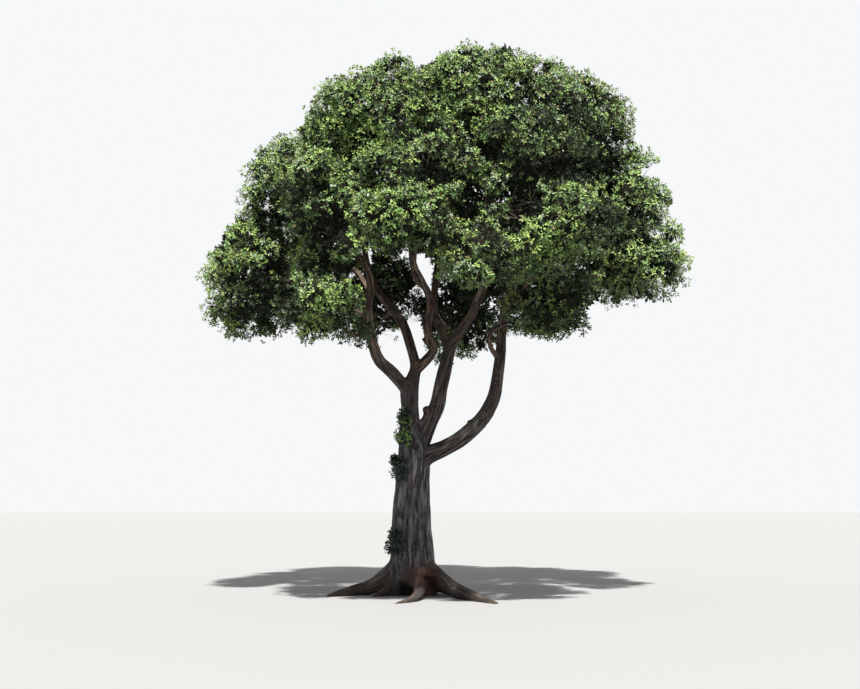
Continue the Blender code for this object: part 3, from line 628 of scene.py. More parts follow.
def barkMaterial():
    look = {
        "fissure": (0.011, 0.009, 0.008),
        "trunkPlate": (0.050, 0.045, 0.048),
        "trunkRidge": (0.174, 0.164, 0.186),
        "limbPlate": (0.038, 0.031, 0.028),
        "limbRidge": (0.145, 0.119, 0.105),
        "upperPlate": (0.052, 0.034, 0.025),
        "upperRidge": (0.195, 0.132, 0.096),
        "stain": (0.052, 0.015, 0.008),
        "soil": (0.024, 0.019, 0.016),
        "moss": (0.018, 0.03, 0.012),
        # painted shade inside the root hollows
        "hollow": (0.004, 0.003, 0.003),
        "limbFrom": (0.24, 0.12),  # radii over which trunk turns to limb, and limb to upper limb
        "upperFrom": (0.11, 0.07),
        "strands": (50, 5, 0.72),  # scale, detail and roughness of the grain
        "patches": (4.5, 3, 0.55),
        "soilHeight": (0.62, 0.20),
        "bump": (0.75, 0.012),  # strength and distance
    }
    material = bpy.data.materials.new("fissured_bark")
    material.use_nodes = True
    nodes, links = material.node_tree.nodes, material.node_tree.links
    shader = nodes["Principled BSDF"]
    shader.inputs["Roughness"].default_value = 0.9
    shader.inputs["Specular IOR Level"].default_value = 0.25

    def node(kind, output, inputs, **settings):
        made = nodes.new("ShaderNode" + kind)
        for key, value in settings.items():
            setattr(made, key, value)
        for socket, value in inputs.items():
            if isinstance(value, bpy.types.NodeSocket):
                links.new(value, made.inputs[socket])
            elif isinstance(value, tuple):
                made.inputs[socket].default_value = (*value, 1)
            else:
                made.inputs[socket].default_value = value
        return made.outputs[output]

    def attribute(name, output="Fac"):
        return node("Attribute", output, {}, attribute_name=name)

    def blend(factor, a, b):
        return node("Mix", 2, {0: factor, 6: a, 7: b}, data_type="RGBA")

    def ramp(value, low, high):
        return node("MapRange", "Result", {"Value": value, "From Min": low, "From Max": high})

    def grain(scale, detail, rough):
        inputs = {"Vector": place, "Scale": scale, "Detail": detail, "Roughness": rough}
        return node("TexNoise", "Fac", inputs)

    def times(a, b):
        return node("Math", 0, {0: a, 1: b}, operation="MULTIPLY")

    place, ridge = attribute("barkPlace", "Vector"), attribute("ridge")
    limb = ramp(attribute("limbRadius"), *look["limbFrom"])
    upper = ramp(attribute("limbRadius"), *look["upperFrom"])
    strands, patches = grain(*look["strands"]), grain(*look["patches"])

    # strands of fine grain on top of the modelled plates
    height = node("Math", 0, {0: strands, 1: 1.7, 2: times(ridge, 0.7)}, operation="MULTIPLY_ADD")
    plate = blend(limb, look["trunkPlate"], look["limbPlate"])
    plate = blend(upper, plate, look["upperPlate"])
    bright = blend(limb, look["trunkRidge"], look["limbRidge"])
    bright = blend(upper, bright, look["upperRidge"])
    colour = blend(ramp(height, 0.92, 1.26), look["fissure"], plate)
    colour = blend(times(ramp(height, 1.22, 1.66), ramp(patches, 0.30, 0.62)), colour, bright)
    above = node("SeparateXYZ", "Z", {0: node("TexCoord", "Object", {})})
    soiled = times(ramp(above, *look["soilHeight"]), 0.88)
    colour = blend(times(soiled, ramp(strands, 0.72, 0.50)), colour, look["soil"])
    rust = times(attribute("stain"), ramp(strands, 0.38, 0.52))
    colour = blend(rust, colour, look["stain"])
    colour = blend(attribute("moss"), colour, look["moss"])
    # the painted shade of the root hollows goes over all
    colour = blend(attribute("black"), colour, look["hollow"])
    links.new(colour, shader.inputs["Base Color"])
    strength, distance = look["bump"]
    relief = node("Bump", "Normal", {"Strength": strength, "Distance": distance, "Height": height})
    links.new(relief, shader.inputs["Normal"])
    return material


bark = barkMaterial()
woodPiece = growWood()
dress(woodPiece, bark, ["trunk", *showingLimbs])
print("trunk and limbs:", len(woodPiece.data.polygons), "faces")
innerPiece = growInnerBoughs()
dress(innerPiece, bark, ["bough_" + mass for mass in innerLimbs])
print("inner boughs:", len(innerPiece.data.polygons), "faces")


# the crown: clumps and sprays of leaves on branches, grown on from the limbs by one seeded rule

crown = {
    "branches": 14,  # tried for each mass, from its stem
    "branchShare": 0.62,
    "branchRadii": (0.017, 0.006),
    "blend": 0.13,  # metres over which neighbouring masses run together
    "topBlend": 0.10,  # more than that at the very top
    "middle": (0.6, 0.1, 5.9),  # the hollow heart of the crown
    "clumpSize": (0.22, 0.50),
    "clumpShape": (1.10, 1.10, 0.84),
    "clumpSpacing": 0.78,  # against two clumps' sizes together
    "recess": 0.32,  # the deepest clumps stand back this far
    "relief": 0.11,  # of the finer bunches on each clump
    "spraySpacing": 0.102,
    "innerSpacing": 0.18,
    "hidden": 0.76,  # a spray this deep in another clump, against its size, is left out
    "clumpShade": 30,  # dark sprays inside a clump of middling size
    "middlingSize": 0.34,
    "leastShaded": 0.14,  # smaller listed clumps hold no dark sprays
    "clumpShadeReach": (0.30, 0.72),
    "clumpShadeDepth": -0.12,
    "shadeSprays": 400,  # for each mass, behind its clumps
    "shadeReach": (0.30, 0.80),
    "shadeDepth": -0.42,  # behind the faces of the clumps
    "seam": (0.16, -0.14),  # near the next mass they come this far out
    # dark sprays in the hollow heart and behind the seams: middle, reach and number
    "backing": [
        ((0.80, 0.50, 6.75), (2.5, 0.9, 1.0), 1300),
        ((-0.45, 2.35, 5.72), (0.6, 0.3, 0.32), 170),
        ((1.25, 1.50, 5.35), (0.60, 0.50, 0.38), 210),
        ((-1.55, -0.40, 5.30), (0.50, 0.45, 0.38), 190),
    ],
    "limbRoom": 0.05,
    "frontLimit": -3.56,
    "shadeBack": 0.12,  # the dark sprays stand back from that by this much
    "shadeRoom": 0.06,
}
# one spray of leaves in the light, and one of the dark ones inside the crown, whose near-black
# green is painted shade
spray = {"leaves": 8, "length": (0.043, 0.065), "width": 0.47}
shadeSpray = {"leaves": 6, "length": (0.085, 0.13), "width": 0.55}
leafSpread = (0.45, 1.42)  # lean of the innermost and the outermost leaves, in radians
# clumps listed along the crown's outline: place and size, in centimetres
outlineClumps = [
    (-298, 5, 599, 16), (-296, 5, 582, 24), (-311, 5, 541, 24), (-331, 5, 525, 16),
    (-312, 5, 496, 24), (-328, 5, 459, 16), (-291, 5, 459, 24), (-249, 5, 445, 24),
    (-168, -220, 432, 21), (-142, -220, 404, 21), (-106, -220, 422, 21), (-72, -220, 405, 21),
    (55, 260, 472, 28), (55, 260, 418, 18), (95, 260, 445, 28), (165, -102, 455, 22),
    (195, -102, 427, 22), (234, -102, 435, 22), (262, -102, 465, 22), (303, -39, 505, 23),
    (344, -39, 498, 23), (384, -39, 511, 23), (424, -39, 525, 23), (437, -39, 543, 15),
    (413, -39, 566, 23), (404, -19, 612, 24), (422, -19, 650, 16), (405, -19, 657, 24),
    (369, -19, 679, 24), (368, -19, 722, 24), (345, -33, 756, 24), (337, -33, 800, 24),
    (304, -33, 833, 24), (291, -33, 850, 16), (264, -33, 848, 24), (224, -80, 853, 23),
    (183, -80, 856, 23), (142, -80, 863, 23), (101, -80, 865, 23), (60, -80, 856, 23),
    (25, -66, 836, 24), (-16, -66, 846, 24), (-26, -66, 870, 18), (-58, -66, 839, 24),
    (-99, -14, 842, 24), (-138, -14, 824, 24), (-155, -14, 784, 24), (-171, -14, 743, 24),
    (-215, 10, 735, 25), (-253, 10, 710, 25), (-259, 10, 666, 24), (-262, 10, 623, 24),
    (441, -39, 506, 10), (414, -39, 486, 12), (269, -102, 422, 11), (-304, 5, 425, 10),
    (-326, 5, 445, 9), (-96, -220, 387, 13), (-73, -220, 383, 13), (-148, -220, 384, 10),
    (89, 260, 424, 13), (402, -19, 710, 9), (-259, 10, 737, 10), (-255, 80, 623, 24),
    (-241, 120, 620, 24), (-255, 10, 630, 20), (-234, 30, 628, 22), (361, -115, 570, 27),
    (388, -110, 539, 24), (340, -120, 527, 25), (374, -110, 499, 23), (318, -120, 564, 24),
    (417, -90, 571, 20), (351, -100, 489, 17),
]
# and smaller ones that close the gaps left over
fillClumps = [
    (142, 220, 519, 20), (333, 20, 744, 26), (319, 0, 706, 24), (-132, 150, 556, 22),
    (197, -60, 845, 24), (-162, -5, 802, 18), (-51, 210, 595, 20), (-30, 210, 580, 18),
    (-72, 220, 603, 17), (-9, 220, 567, 22), (-23, 220, 588, 16), (-13, 230, 551, 22),
    (-34, 220, 551, 22), (-75, 210, 576, 18), (-100, 160, 573, 20), (-115, 120, 568, 20),
    (-56, 220, 567, 20), (-147, -220, 396, 15), (-128, -220, 399, 14), (-111, -200, 408, 14),
    (-41, -66, 863, 15), (418, -39, 506, 15), (127, 260, 441, 14), (49, 260, 441, 12),
    (17, 260, 455, 12), (102, 260, 430, 12), (-252, 10, 737, 15), (-288, 5, 616, 14),
    (-323, 5, 582, 13), (-220, 10, 756, 14), (-183, -14, 766, 14), (-163, -30, 801, 13),
    (219, -80, 863, 12), (249, -60, 861, 12), (-234, 5, 435, 14), (-334, 5, 501, 12),
    (404, -19, 679, 13), (42, -66, 874, 12), (-11, -66, 869, 13), (-88, -14, 865, 12),
    (344, -33, 815, 12), (-249, 40, 588, 20), (-233, 30, 570, 20), (-184, 0, 716, 20),
    (85, 245, 586, 25), (125, 235, 590, 25), (-255, 95, 495, 26), (-245, 85, 525, 24),
    (45, -180, 801, 26), (79, -190, 775, 27), (42, -174, 758, 25), (113, -196, 785, 26),
    (141, -196, 760, 26), (18, -178, 782, 24), (98, -184, 742, 25), (69, -184, 816, 22),
    (150, -274, 700, 22), (-131, -104, 720, 27), (-96, -96, 700, 26), (-134, -244, 639, 25),
    (-200, -88, 712, 24), (-72, -124, 730, 25), (-105, -126, 753, 24), (-54, -264, 641, 22),
    (170, -314, 564, 27), (201, -324, 576, 26), (228, -328, 559, 26), (152, -322, 538, 24),
    (187, -322, 538, 27), (230, -320, 530, 26), (254, -302, 516, 22), (-138, -258, 450, 22),
    (-102, -240, 445, 24), (-123, -246, 429, 22), (-87, -218, 438, 20), (-250, -72, 577, 22),
    (-235, -72, 549, 22), (-255, -100, 525, 22), (-56, -331, 556, 24), (-20, -331, 559, 24),
    (8, -332, 550, 22), (129, -254, 609, 20), (86, -334, 470, 20), (100, -326, 458, 20),
    (-124, -116, 791, 24), (-94, -134, 788, 24), (-96, -226, 520, 20), (175, -322, 514, 22),
    (206, -308, 503, 22), (184, -296, 487, 22), (159, -332, 495, 20), (223, -288, 492, 20),
    (-96, -142, 760, 24), (-116, -128, 737, 22), (-85, -120, 715, 22), (-103, -104, 694, 20),
    (-47, -332, 544, 20), (-20, -332, 545, 20), (4, -332, 537, 20), (-68, -334, 539, 18),
    (-203, -108, 681, 22), (-158, -266, 622, 22), (-143, -248, 646, 20), (85, -202, 743, 20),
    (-139, -260, 434, 18), (-137, -242, 411, 18), (337, -138, 536, 20), (351, -142, 516, 20),
    (320, -112, 530, 20), (17, -268, 719, 20), (166, -324, 560, 20), (56, -196, 803, 20),
    (162, -206, 794, 20), (65, -316, 575, 20), (-298, -110, 528, 18), (-269, -114, 522, 18),
    (295, -146, 731, 20), (-96, -248, 518, 18), (-268, -96, 574, 18), (365, 142, 511, 14),
    (-53, -40, 866, 18), (195, -50, 872, 16), (202, -40, 824, 22), (-312, 15, 574, 18),
    (-306, 15, 450, 17), (-169, -155, 422, 16), (424, -25, 516, 15), (378, -5, 726, 16),
    (-266, 25, 640, 17), (-164, -64, 742, 20),
]
# where the photograph shows sky: seen from this place, an ellipse in the plane y = 0
# all in centimetres, with shares in hundredths
openings = {
    "from": (30, -1800, 160),
    "ellipses": [
        (3, 553, 7, 17), (17, 536, 13, 30), (25, 524, 10, 20), (-74, 548, 5, 13),
        (133, 478, 6, 16), (206, 507, 5, 10), (5, 418, 18, 42), (-43, 417, 16, 17),
        (19, 909, 25, 20), (162, 931, 24, 10), (-88, 896, 13, 8), (-194, 805, 10, 23),
        (416, 704, 25, 15), (-334, 598, 20, 32), (384, 478, 15, 9), (306, 462, 17, 17),
    ],
    # deep shade: the same, and the y that only dark leaves stand in front of
    "shaded": [
        (251, 706, 75, 24, -120), (192, 653, 30, 32, -150), (93, 648, 19, 29, -190),
        (20, 714, 15, 24, -150), (135, 732, 22, 12, -120), (-231, 611, 27, 27, -50),
        (-132, 603, 25, 47, -170), (-214, 499, 15, 47, -40), (172, 612, 13, 24, -170),
        (330, 540, 9, 30, -130), (-25, 790, 10, 22, -120),
    ],
    # between the clumps, shade painted into the leaves' colour: the same ellipses, and the share
    # dealt the darkest green
    "paintedShade": [
        (278, 790, 59, 32, 70), (251, 718, 38, 21, 80), (325, 709, 38, 21, 80),
        (-190, 653, 50, 35, 90), (364, 612, 55, 31, 85), (-90, 431, 40, 34, 95),
        (-218, 460, 36, 46, 90), (286, 485, 35, 65, 85), (-45, 695, 47, 19, 80),
        (76, 746, 34, 16, 80), (185, 742, 29, 23, 90), (54, 613, 19, 26, 90),
        (-25, 546, 20, 34, 90), (132, 781, 22, 12, 80), (-274, 488, 18, 15, 85),
        (222, 456, 57, 24, 60), (287, 741, 37, 57, 90), (322, 612, 30, 42, 90),
        (196, 824, 43, 23, 70), (-163, 533, 23, 17, 90), (138, 570, 25, 19, 90),
        (-15, 512, 30, 44, 95), (-14, 510, 33, 62, 95), (-93, 428, 30, 30, 95),
        (-225, 453, 21, 32, 95), (110, 412, 23, 15, 95), (341, 589, 31, 24, 90),
        (143, 643, 26, 16, 90), (-209, 572, 15, 15, 90), (218, 815, 19, 12, 90),
        (340, 824, 23, 12, 70), (355, 746, 24, 9, 80),
    ],
    # and light painted into the leaves' colour where the sun falls: the same ellipses and shares
    "paintedSun": [
        (-115, 776, 68, 46, 80), (220, 574, 51, 45, 90), (-39, 643, 52, 26, 90),
        (-160, 456, 20, 39, 90), (-170, 692, 30, 23, 90), (20, 801, 29, 20, 90),
        (199, 650, 21, 21, 90), (95, 808, 24, 20, 90), (-285, 594, 18, 19, 90),
        (71, 657, 20, 14, 90), (307, 781, 21, 14, 90), (-312, 516, 20, 17, 90),
        (64, 874, 38, 25, 70), (176, 879, 28, 16, 80),
    ],
}
openings = {key: np.array(rows) / 100 for key, rows in openings.items()}
leafLooks = {  # colour, roughness, gloss
    # young and fresh greens: the leaves' own colours, also dealt as painted light where the sun is
    # painted
    "leaves_young": ((0.190, 0.268, 0.070), 0.55, 0.25),
    "leaves_fresh": ((0.139, 0.224, 0.065), 0.55, 0.25),
    "leaves_mid": ((0.112, 0.176, 0.058), 0.55, 0.25),
    # deep green: partly the leaves' own darker tone, partly painted shade where it is dealt
    # beneath, inside and between the clumps
    "leaves_deep": ((0.068, 0.113, 0.038), 0.55, 0.22),
    "leaves_olive": ((0.152, 0.182, 0.070), 0.55, 0.25),
    # grey-green: partly the leaves' own greyer tone, partly a painted sheen
    "leaves_grey": ((0.150, 0.205, 0.118), 0.5, 0.27),
    "leaves_tan": ((0.230, 0.150, 0.085), 0.55, 0.2),
    # painted shade: the darkest green, dealt only where shade is painted between the clumps
    "leaves_dark": ((0.031, 0.046, 0.020), 0.7, 0.1),
    # painted shade: the near-black green of the sprays inside the crown and of the inner clumps
    "leaves_shade": ((0.030, 0.037, 0.026), 0.9, 0.0),
}


def crownField(points):
    # distance outside the crown, its slope there, the nearest mass, and how near the next one is
    gaps, slopes = [], []
    for centre, reach in masses.values():
        rel = (points - np.array(centre)) / np.array(reach)
        slope = rel / np.array(reach)
        far, steep = np.linalg.norm(rel, axis=1), np.linalg.norm(slope, axis=1) + 1e-9
        gaps.append(far * (far - 1) / steep)
        slopes.append(slope / steep[:, None])
    gaps = np.array(gaps)
    blend = crown["blend"] + crown["topBlend"] * np.clip((points[:, 2] - 7.1) / 0.9, 0, 1)
    weights = np.exp(-gaps / blend)
    depth = -blend * np.log(weights.sum(0))
    two = np.partition(gaps, 1, axis=0)
    slope = unit((weights[..., None] * np.array(slopes)).sum(0))
    return depth, slope, gaps.argmin(0), two[1] - two[0]


def withinView(points, x, z, wide, high):
    eye = openings["from"]
    rel = points - eye
    hit = eye + rel * (-eye[1] / rel[:, 1])[:, None]
    return ((hit[:, 0] - x) / wide) ** 2 + ((hit[:, 2] - z) / high) ** 2 < 1


def throughOpening(points):
    return np.any([withinView(points, *ellipse) for ellipse in openings["ellipses"]], axis=0)


def inDeepShade(points):
    shaded = np.zeros(len(points), bool)
    for *ellipse, behind in openings["shaded"]:
        shaded |= withinView(points, *ellipse) & (points[:, 1] < behind)
    return shaded


def dealtTo(places, points, chance):
    chosen = np.zeros(len(points), bool)
    for *ellipse, share in places:
        chosen |= withinView(points, *ellipse) & (chance.uniform(0, 1, len(points)) < share)
    return chosen


def growClumps():
    # places on the crown's outside, walked out to from each mass's middle, then thinned
    chance = np.random.default_rng(41)
    places, normals, owners = [], [], []
    for number, (centre, _) in enumerate(masses.values()):
        ways = evenWays(640, chance.uniform(0, 6.28))
        out = np.full(len(ways), 0.2)
        for _ in range(40):
            depth, normal, nearest, _ = crownField(np.array(centre) + ways * out[:, None])
            out = out + np.clip(-depth, 0, 0.25)
        spots = np.array(centre) + ways * out[:, None]
        held = nearest == number
        places.append(spots[held])
        normals.append(normal[held])
        owners.append(np.full(held.sum(), number))
    places, normals = np.concatenate(places), np.concatenate(normals)
    owners = np.concatenate(owners)
    order = chance.permutation(len(places))
    smallest, largest = crown["clumpSize"]
    byHand = np.array(outlineClumps) / 100
    middles, sizes = byHand[:, :3], byHand[:, 3]
    _, setNormals, setOwners, _ = crownField(middles)
    kept = []
    for k in order:
        size = smallest + (largest - smallest) * chance.uniform(0, 1) ** 1.3
        wave = noise.noise(Vector(places[k]) * 1.7 + Vector((3, 7, 1)))
        back = crown["recess"] * min(1, max(0.12, 0.38 + 1.1 * wave + chance.normal(0, 0.2)))
        middle = places[k] - normals[k] * (back + size * 0.85)
        apart = np.linalg.norm(middles - middle, axis=1)
        if (apart > crown["clumpSpacing"] * (sizes + size)).all():
            kept.append(k)
            middles = np.vstack([middles, middle])
            sizes = np.append(sizes, size)
    fill = np.array(fillClumps) / 100
    _, fillNormals, fillOwners, _ = crownField(fill[:, :3])
    middles, sizes = np.vstack([middles, fill[:, :3]]), np.append(sizes, fill[:, 3])
    normals = np.concatenate([setNormals, normals[kept], fillNormals])
    outwards = unit(middles - np.array(crown["middle"]))
    placed = np.ones(len(middles), bool)
    placed[len(outlineClumps) : -len(fillClumps)] = False
    inner = ((normals * outwards).sum(1) < -0.1) & ~placed
    return {
        "middle": middles,
        "size": sizes,
        "way": normals,
        "owner": np.concatenate([setOwners, owners[kept], fillOwners]),
        "placed": placed,
        "inner": inner,
        "tone": chance.uniform(0, 1, len(middles)),
    }


def branchLine(start, end, bend, count):
    start, end = np.array(start), np.array(end)
    share = np.linspace(0, 1, count)[:, None]
    return start + (end - start) * share + bend * (4 * share * (1 - share))


def growBranches(name, chance):
    # from the stem towards the edge, as the twigs of the solids
    centre, reach = np.array(masses[name][0]), np.array(masses[name][1])
    entry, hub = (np.array(place) for place, _ in stems[name])
    back = unit(entry - centre)
    ways = evenWays(crown["branches"], chance.uniform(0, 6.28))
    ways = unit(ways + chance.uniform(-0.12, 0.12, ways.shape))
    branches = []
    for way, far in zip(ways, edgeAlong(reach, spacePlanes(name), ways)):
        if way @ back > 0.72:
            continue
        fork = entry + (hub - entry) * chance.uniform(0.6, 0.95)
        tip = centre + way * far * crown["branchShare"]
        bend = chance.normal(0, 0.035, 3) + up * -0.02
        branches.append((way, branchLine(fork, tip, bend, 5)))
    return branches


def nearLimbs(centre, wide):
    near = []
    for line in lines.values():
        spots = np.array([place for place, _ in line])
        if np.linalg.norm(spots - centre, axis=1).min() < wide + 0.4:
            near.append(line)
    return near


def growSprays(number, name, chance):
    # round each clump: place, way out, clump's tone, on the inner side or not (where shade is
    # painted), clump's middle, relief
    rows = []
    for k in np.flatnonzero(clumps["owner"] == number):
        middle, way, size = clumps["middle"][k], clumps["way"][k], clumps["size"][k]
        inner = clumps["inner"][k]
        spacing = crown["innerSpacing" if inner else "spraySpacing"]
        count = int(4 * math.pi * size**2 / (spacing**2 * 0.87))
        around = evenWays(count, chance.uniform(0, 6.28))
        lean = unit(way + 0.55 * up)
        around = around[around @ lean > -0.2]
        around = unit(around + chance.normal(0, 0.09, around.shape))
        spots = middle + around * size
        relief = np.array(
            [noise.noise(Vector(s) * 4.2) + 0.45 * noise.noise(Vector(s) * 9) for s in spots]
        )
        far = size * chance.uniform(0.86, 1.02, len(around)) + crown["relief"] * 1.6 * relief
        places = middle + around * far[:, None] * np.array(crown["clumpShape"])
        axes = unit(around + 0.5 * up + chance.normal(0, 0.22, around.shape))
        same = np.ones(len(around))
        extra = [clumps["tone"][k] * same, inner * same, np.tile(middle, (len(around), 1)), relief]
        rows.append(np.column_stack([places, axes, *extra]))
    rows = np.concatenate(rows)
    rows = rows[(rows[:, 1] > crown["frontLimit"]) & ~throughOpening(rows[:, :3])]
    rows = rows[~inDeepShade(rows[:, :3] + chance.normal(0, 0.03, (len(rows), 3)))]
    # a spray deep inside another clump would never be seen
    apart = np.linalg.norm(rows[:, None, :3] - clumps["middle"][None], axis=2)
    own = np.linalg.norm(rows[:, None, 8:11] - clumps["middle"][None], axis=2) < 1e-6
    rows = rows[~((apart < crown["hidden"] * clumps["size"]) & ~own).any(1)]
    near = nearLimbs(np.array(masses[name][0]), max(masses[name][1]))
    return rows[roomRound(rows[:, :3], near) > crown["limbRoom"]]


def growShade(number, name, chance):
    # larger dark sprays inside the clumps and behind them; their near-black green is painted shade
    centre, reach = np.array(masses[name][0]), np.array(masses[name][1])
    ways = evenWays(crown["shadeSprays"], chance.uniform(0, 6.28))
    ways = unit(ways + chance.normal(0, 0.12, ways.shape))
    edge = edgeAlong(reach, [], ways)
    places = [centre + ways * (edge * chance.uniform(*crown["shadeReach"], len(ways)))[:, None]]
    deepest = [np.full(len(ways), crown["shadeDepth"])]
    ways = [ways]
    for k in np.flatnonzero(clumps["owner"] == number):
        size, placed = clumps["size"][k], clumps["placed"][k]
        count = int(crown["clumpShade"] * (size / crown["middlingSize"]) ** 2)
        some = evenWays(count, chance.uniform(0, 6.28))
        if placed and size < crown["leastShaded"]:
            continue
        ways.append(some)
        deepest.append(np.full(len(some), 0.5 if placed else crown["clumpShadeDepth"]))
        far = size * chance.uniform(*crown["clumpShadeReach"], (len(some), 1))
        far = far * (0.5 if placed else 1)
        places.append(clumps["middle"][k] + some * far)
    places, ways = np.concatenate(places), np.concatenate(ways)
    axes = unit(ways + chance.normal(0, 0.5, ways.shape) + 0.2 * up)
    room = crown["limbRoom"] + crown["shadeRoom"]
    keep = roomRound(places, nearLimbs(centre, max(reach))) > room
    keep &= places[:, 1] > crown["frontLimit"] + crown["shadeBack"]
    keep &= ~throughOpening(places)
    depth, _, _, nextMass = crownField(places)
    deepest = np.concatenate(deepest)
    near, seamDepth = crown["seam"]
    keep &= depth < np.where(nextMass < near, np.maximum(deepest, seamDepth), deepest)
    keep &= ~inDeepShade(places + np.array([0, 0.4, 0]))
    return np.column_stack([places, axes])[keep]


def leavesRound(places, axes, kind, chance):
    # leaves fanned round each spray's axis, the inner ones upright and the outer ones flat
    number, count = len(places), kind["leaves"]
    side = unit(np.cross(axes, chance.normal(0, 1, axes.shape)))
    other = np.cross(axes, side)
    step = np.arange(count)[None, :]
    around = chance.uniform(0, 6.28, (number, 1)) + step * goldenAngle
    around = around + chance.normal(0, 0.25, (number, count))
    upright, flattest = leafSpread
    lean = upright + (flattest - upright) * (step + 0.5) / count
    lean = lean + chance.normal(0, 0.18, (number, count))
    flat = (
        np.cos(around)[..., None] * side[:, None] + np.sin(around)[..., None] * other[:, None]
    )
    ways = axes[:, None] * np.cos(lean)[..., None] + flat * np.sin(lean)[..., None]
    normals = axes[:, None] * np.sin(lean)[..., None] - flat * np.cos(lean)[..., None]
    normals = unit(normals + chance.normal(0, 0.24, normals.shape))
    ways = unit(ways)
    sides = unit(np.cross(ways, normals))
    normals = np.cross(sides, ways)
    length = chance.uniform(*kind["length"], (number, count)) * (0.80 + 0.3 * step / count)
    roots = places[:, None] - axes[:, None] * (0.035 * step / count)[..., None]
    roots = roots + ways * 0.006 + chance.normal(0, 0.008, roots.shape)
    wide = length * kind["width"] * chance.uniform(0.85, 1.15, (number, count))
    arrows = [rows.reshape(-1, 3) for rows in (roots, ways, sides, normals)]
    return [*arrows, length.ravel(), wide.ravel()]


# across, along and up, against a leaf's width and length: folded on its midrib, tip down
leafOutline = np.array(
    [
        (0.0, 0.0, 0.0),
        (-0.44, 0.36, 0.055),
        (-0.37, 0.74, 0.02),
        (0.0, 1.0, -0.10),
        (0.37, 0.74, 0.02),
        (0.44, 0.36, 0.055),
    ]
)
leafFaces = np.array([(0, 3, 2, 1), (0, 5, 4, 3)])
shadeOutline = np.array([(0.0, 0.0, 0.0), (-0.5, 0.5, 0.03), (0.0, 1.0, -0.06), (0.5, 0.5, 0.03)])
shadeFaces = np.array([(0, 2, 1), (0, 3, 2)])


def leafArrays(leaves, outline, faces):
    roots, ways, sides, normals, length, wide = leaves
    across = sides[:, None] * (outline[None, :, 0] * wide[:, None])[..., None]
    along = ways[:, None] * (outline[None, :, 1] * length[:, None])[..., None]
    lift = normals[:, None] * (outline[None, :, 2] * length[:, None])[..., None]
    points = roots[:, None] + across + along + lift
    start = np.arange(len(roots))[:, None, None] * len(outline)
    return points.reshape(-1, 3), (faces[None] + start).reshape(-1, faces.shape[1])


# what counts towards a lighter look for a spray, and the shares of sprays with other looks
dealing = {
    "luck": 0.52,
    "clump": 0.22,
    # painted light: sprays facing up are dealt lighter looks
    "rise": 0.24,
    # partly younger leaves out on the bunches, partly painted shade in the recesses between them
    "relief": 0.60,
    # painted light: sprays lower in the crown are dealt lighter looks
    "low": 0.20,
    "steps": (0.27, 0.42, 0.80),  # from deep to mid, fresh and young leaves
    "grey": (0.34, 0.12),  # in clumps of a greyer tone, and in the others
    "olive": 0.13,
    # painted shade: share of the sprays facing down dealt the deep green
    "below": 0.75,
    # painted shade: share of the sprays on the crown's inner side dealt the shade look
    "inside": 0.6,
    "tipped": 0.30,
    "rusty": 0.08,
    # painted light: share of the sprays in the painted sun dealt young leaves
    "young": 0.5,  # of the sprays in the sun
    # painted shade: share of the sprays in the painted shade dealt the darkest green
    "dark": 0.8,  # of those in shade
}


def dealLooks(rows, chance):
    # one look for each spray, brighter on top as painted light and darker beneath and inside as
    # painted shade, with young leaves at the heart of some
    count = len(rows)

    def some(share):
        return chance.uniform(0, 1, count) < share

    rise, tone, inner, relief = rows[:, 5], rows[:, 6], rows[:, 7] > 0.5, rows[:, 11]
    # painted light: lighter towards the bottom of the crown
    low = np.clip((7.4 - rows[:, 2]) / 2.2, 0, 1)
    score = dealing["luck"] * chance.uniform(0, 1, count) + dealing["clump"] * tone
    score = score + dealing["rise"] * rise + dealing["relief"] * relief
    score += dealing["low"] * low
    kind = np.searchsorted(dealing["steps"], score)
    names = np.array(["leaves_deep", "leaves_mid", "leaves_fresh", "leaves_young"])[kind]
    # grey-green leaves, partly own tone and partly painted sheen
    grey = some(np.where(tone > 0.6, *dealing["grey"]))
    names = np.where(grey & (kind > 0), "leaves_grey", names)
    olive = some(dealing["olive"])
    names = np.where(olive & ((kind == 1) | (kind == 2)), "leaves_olive", names)
    # painted shade: sprays facing down and those of clumps on the inner side get the deep and
    # shade looks
    below = (rise < -0.15) & some(dealing["below"])
    names = np.where(below | inner, "leaves_deep", names)
    names = np.where(inner & some(dealing["inside"]), "leaves_shade", names)
    byLeaf = np.repeat(names[:, None], spray["leaves"], axis=1)
    byLeaf[some(dealing["tipped"]) & (rise > 0) & ~inner, :3] = "leaves_young"
    byLeaf[some(dealing["rusty"]) & ~inner, :2] = "leaves_tan"
    about = rows[:, :3] + chance.normal(0, 0.04, (count, 3))
    # painted light: sprays in those places are dealt the fresh and young greens
    paintedSun = dealtTo(openings["paintedSun"], about, chance) & (kind > 0) & ~below
    byLeaf[paintedSun] = "leaves_fresh"
    byLeaf[paintedSun & some(dealing["young"])] = "leaves_young"
    # painted shade: sprays in those places are dealt the deep and darkest greens
    dim = dealtTo(openings["paintedShade"], about, chance)
    byLeaf[dim] = "leaves_deep"
    byLeaf[dim & some(dealing["dark"])] = "leaves_dark"
    return byLeaf.ravel()


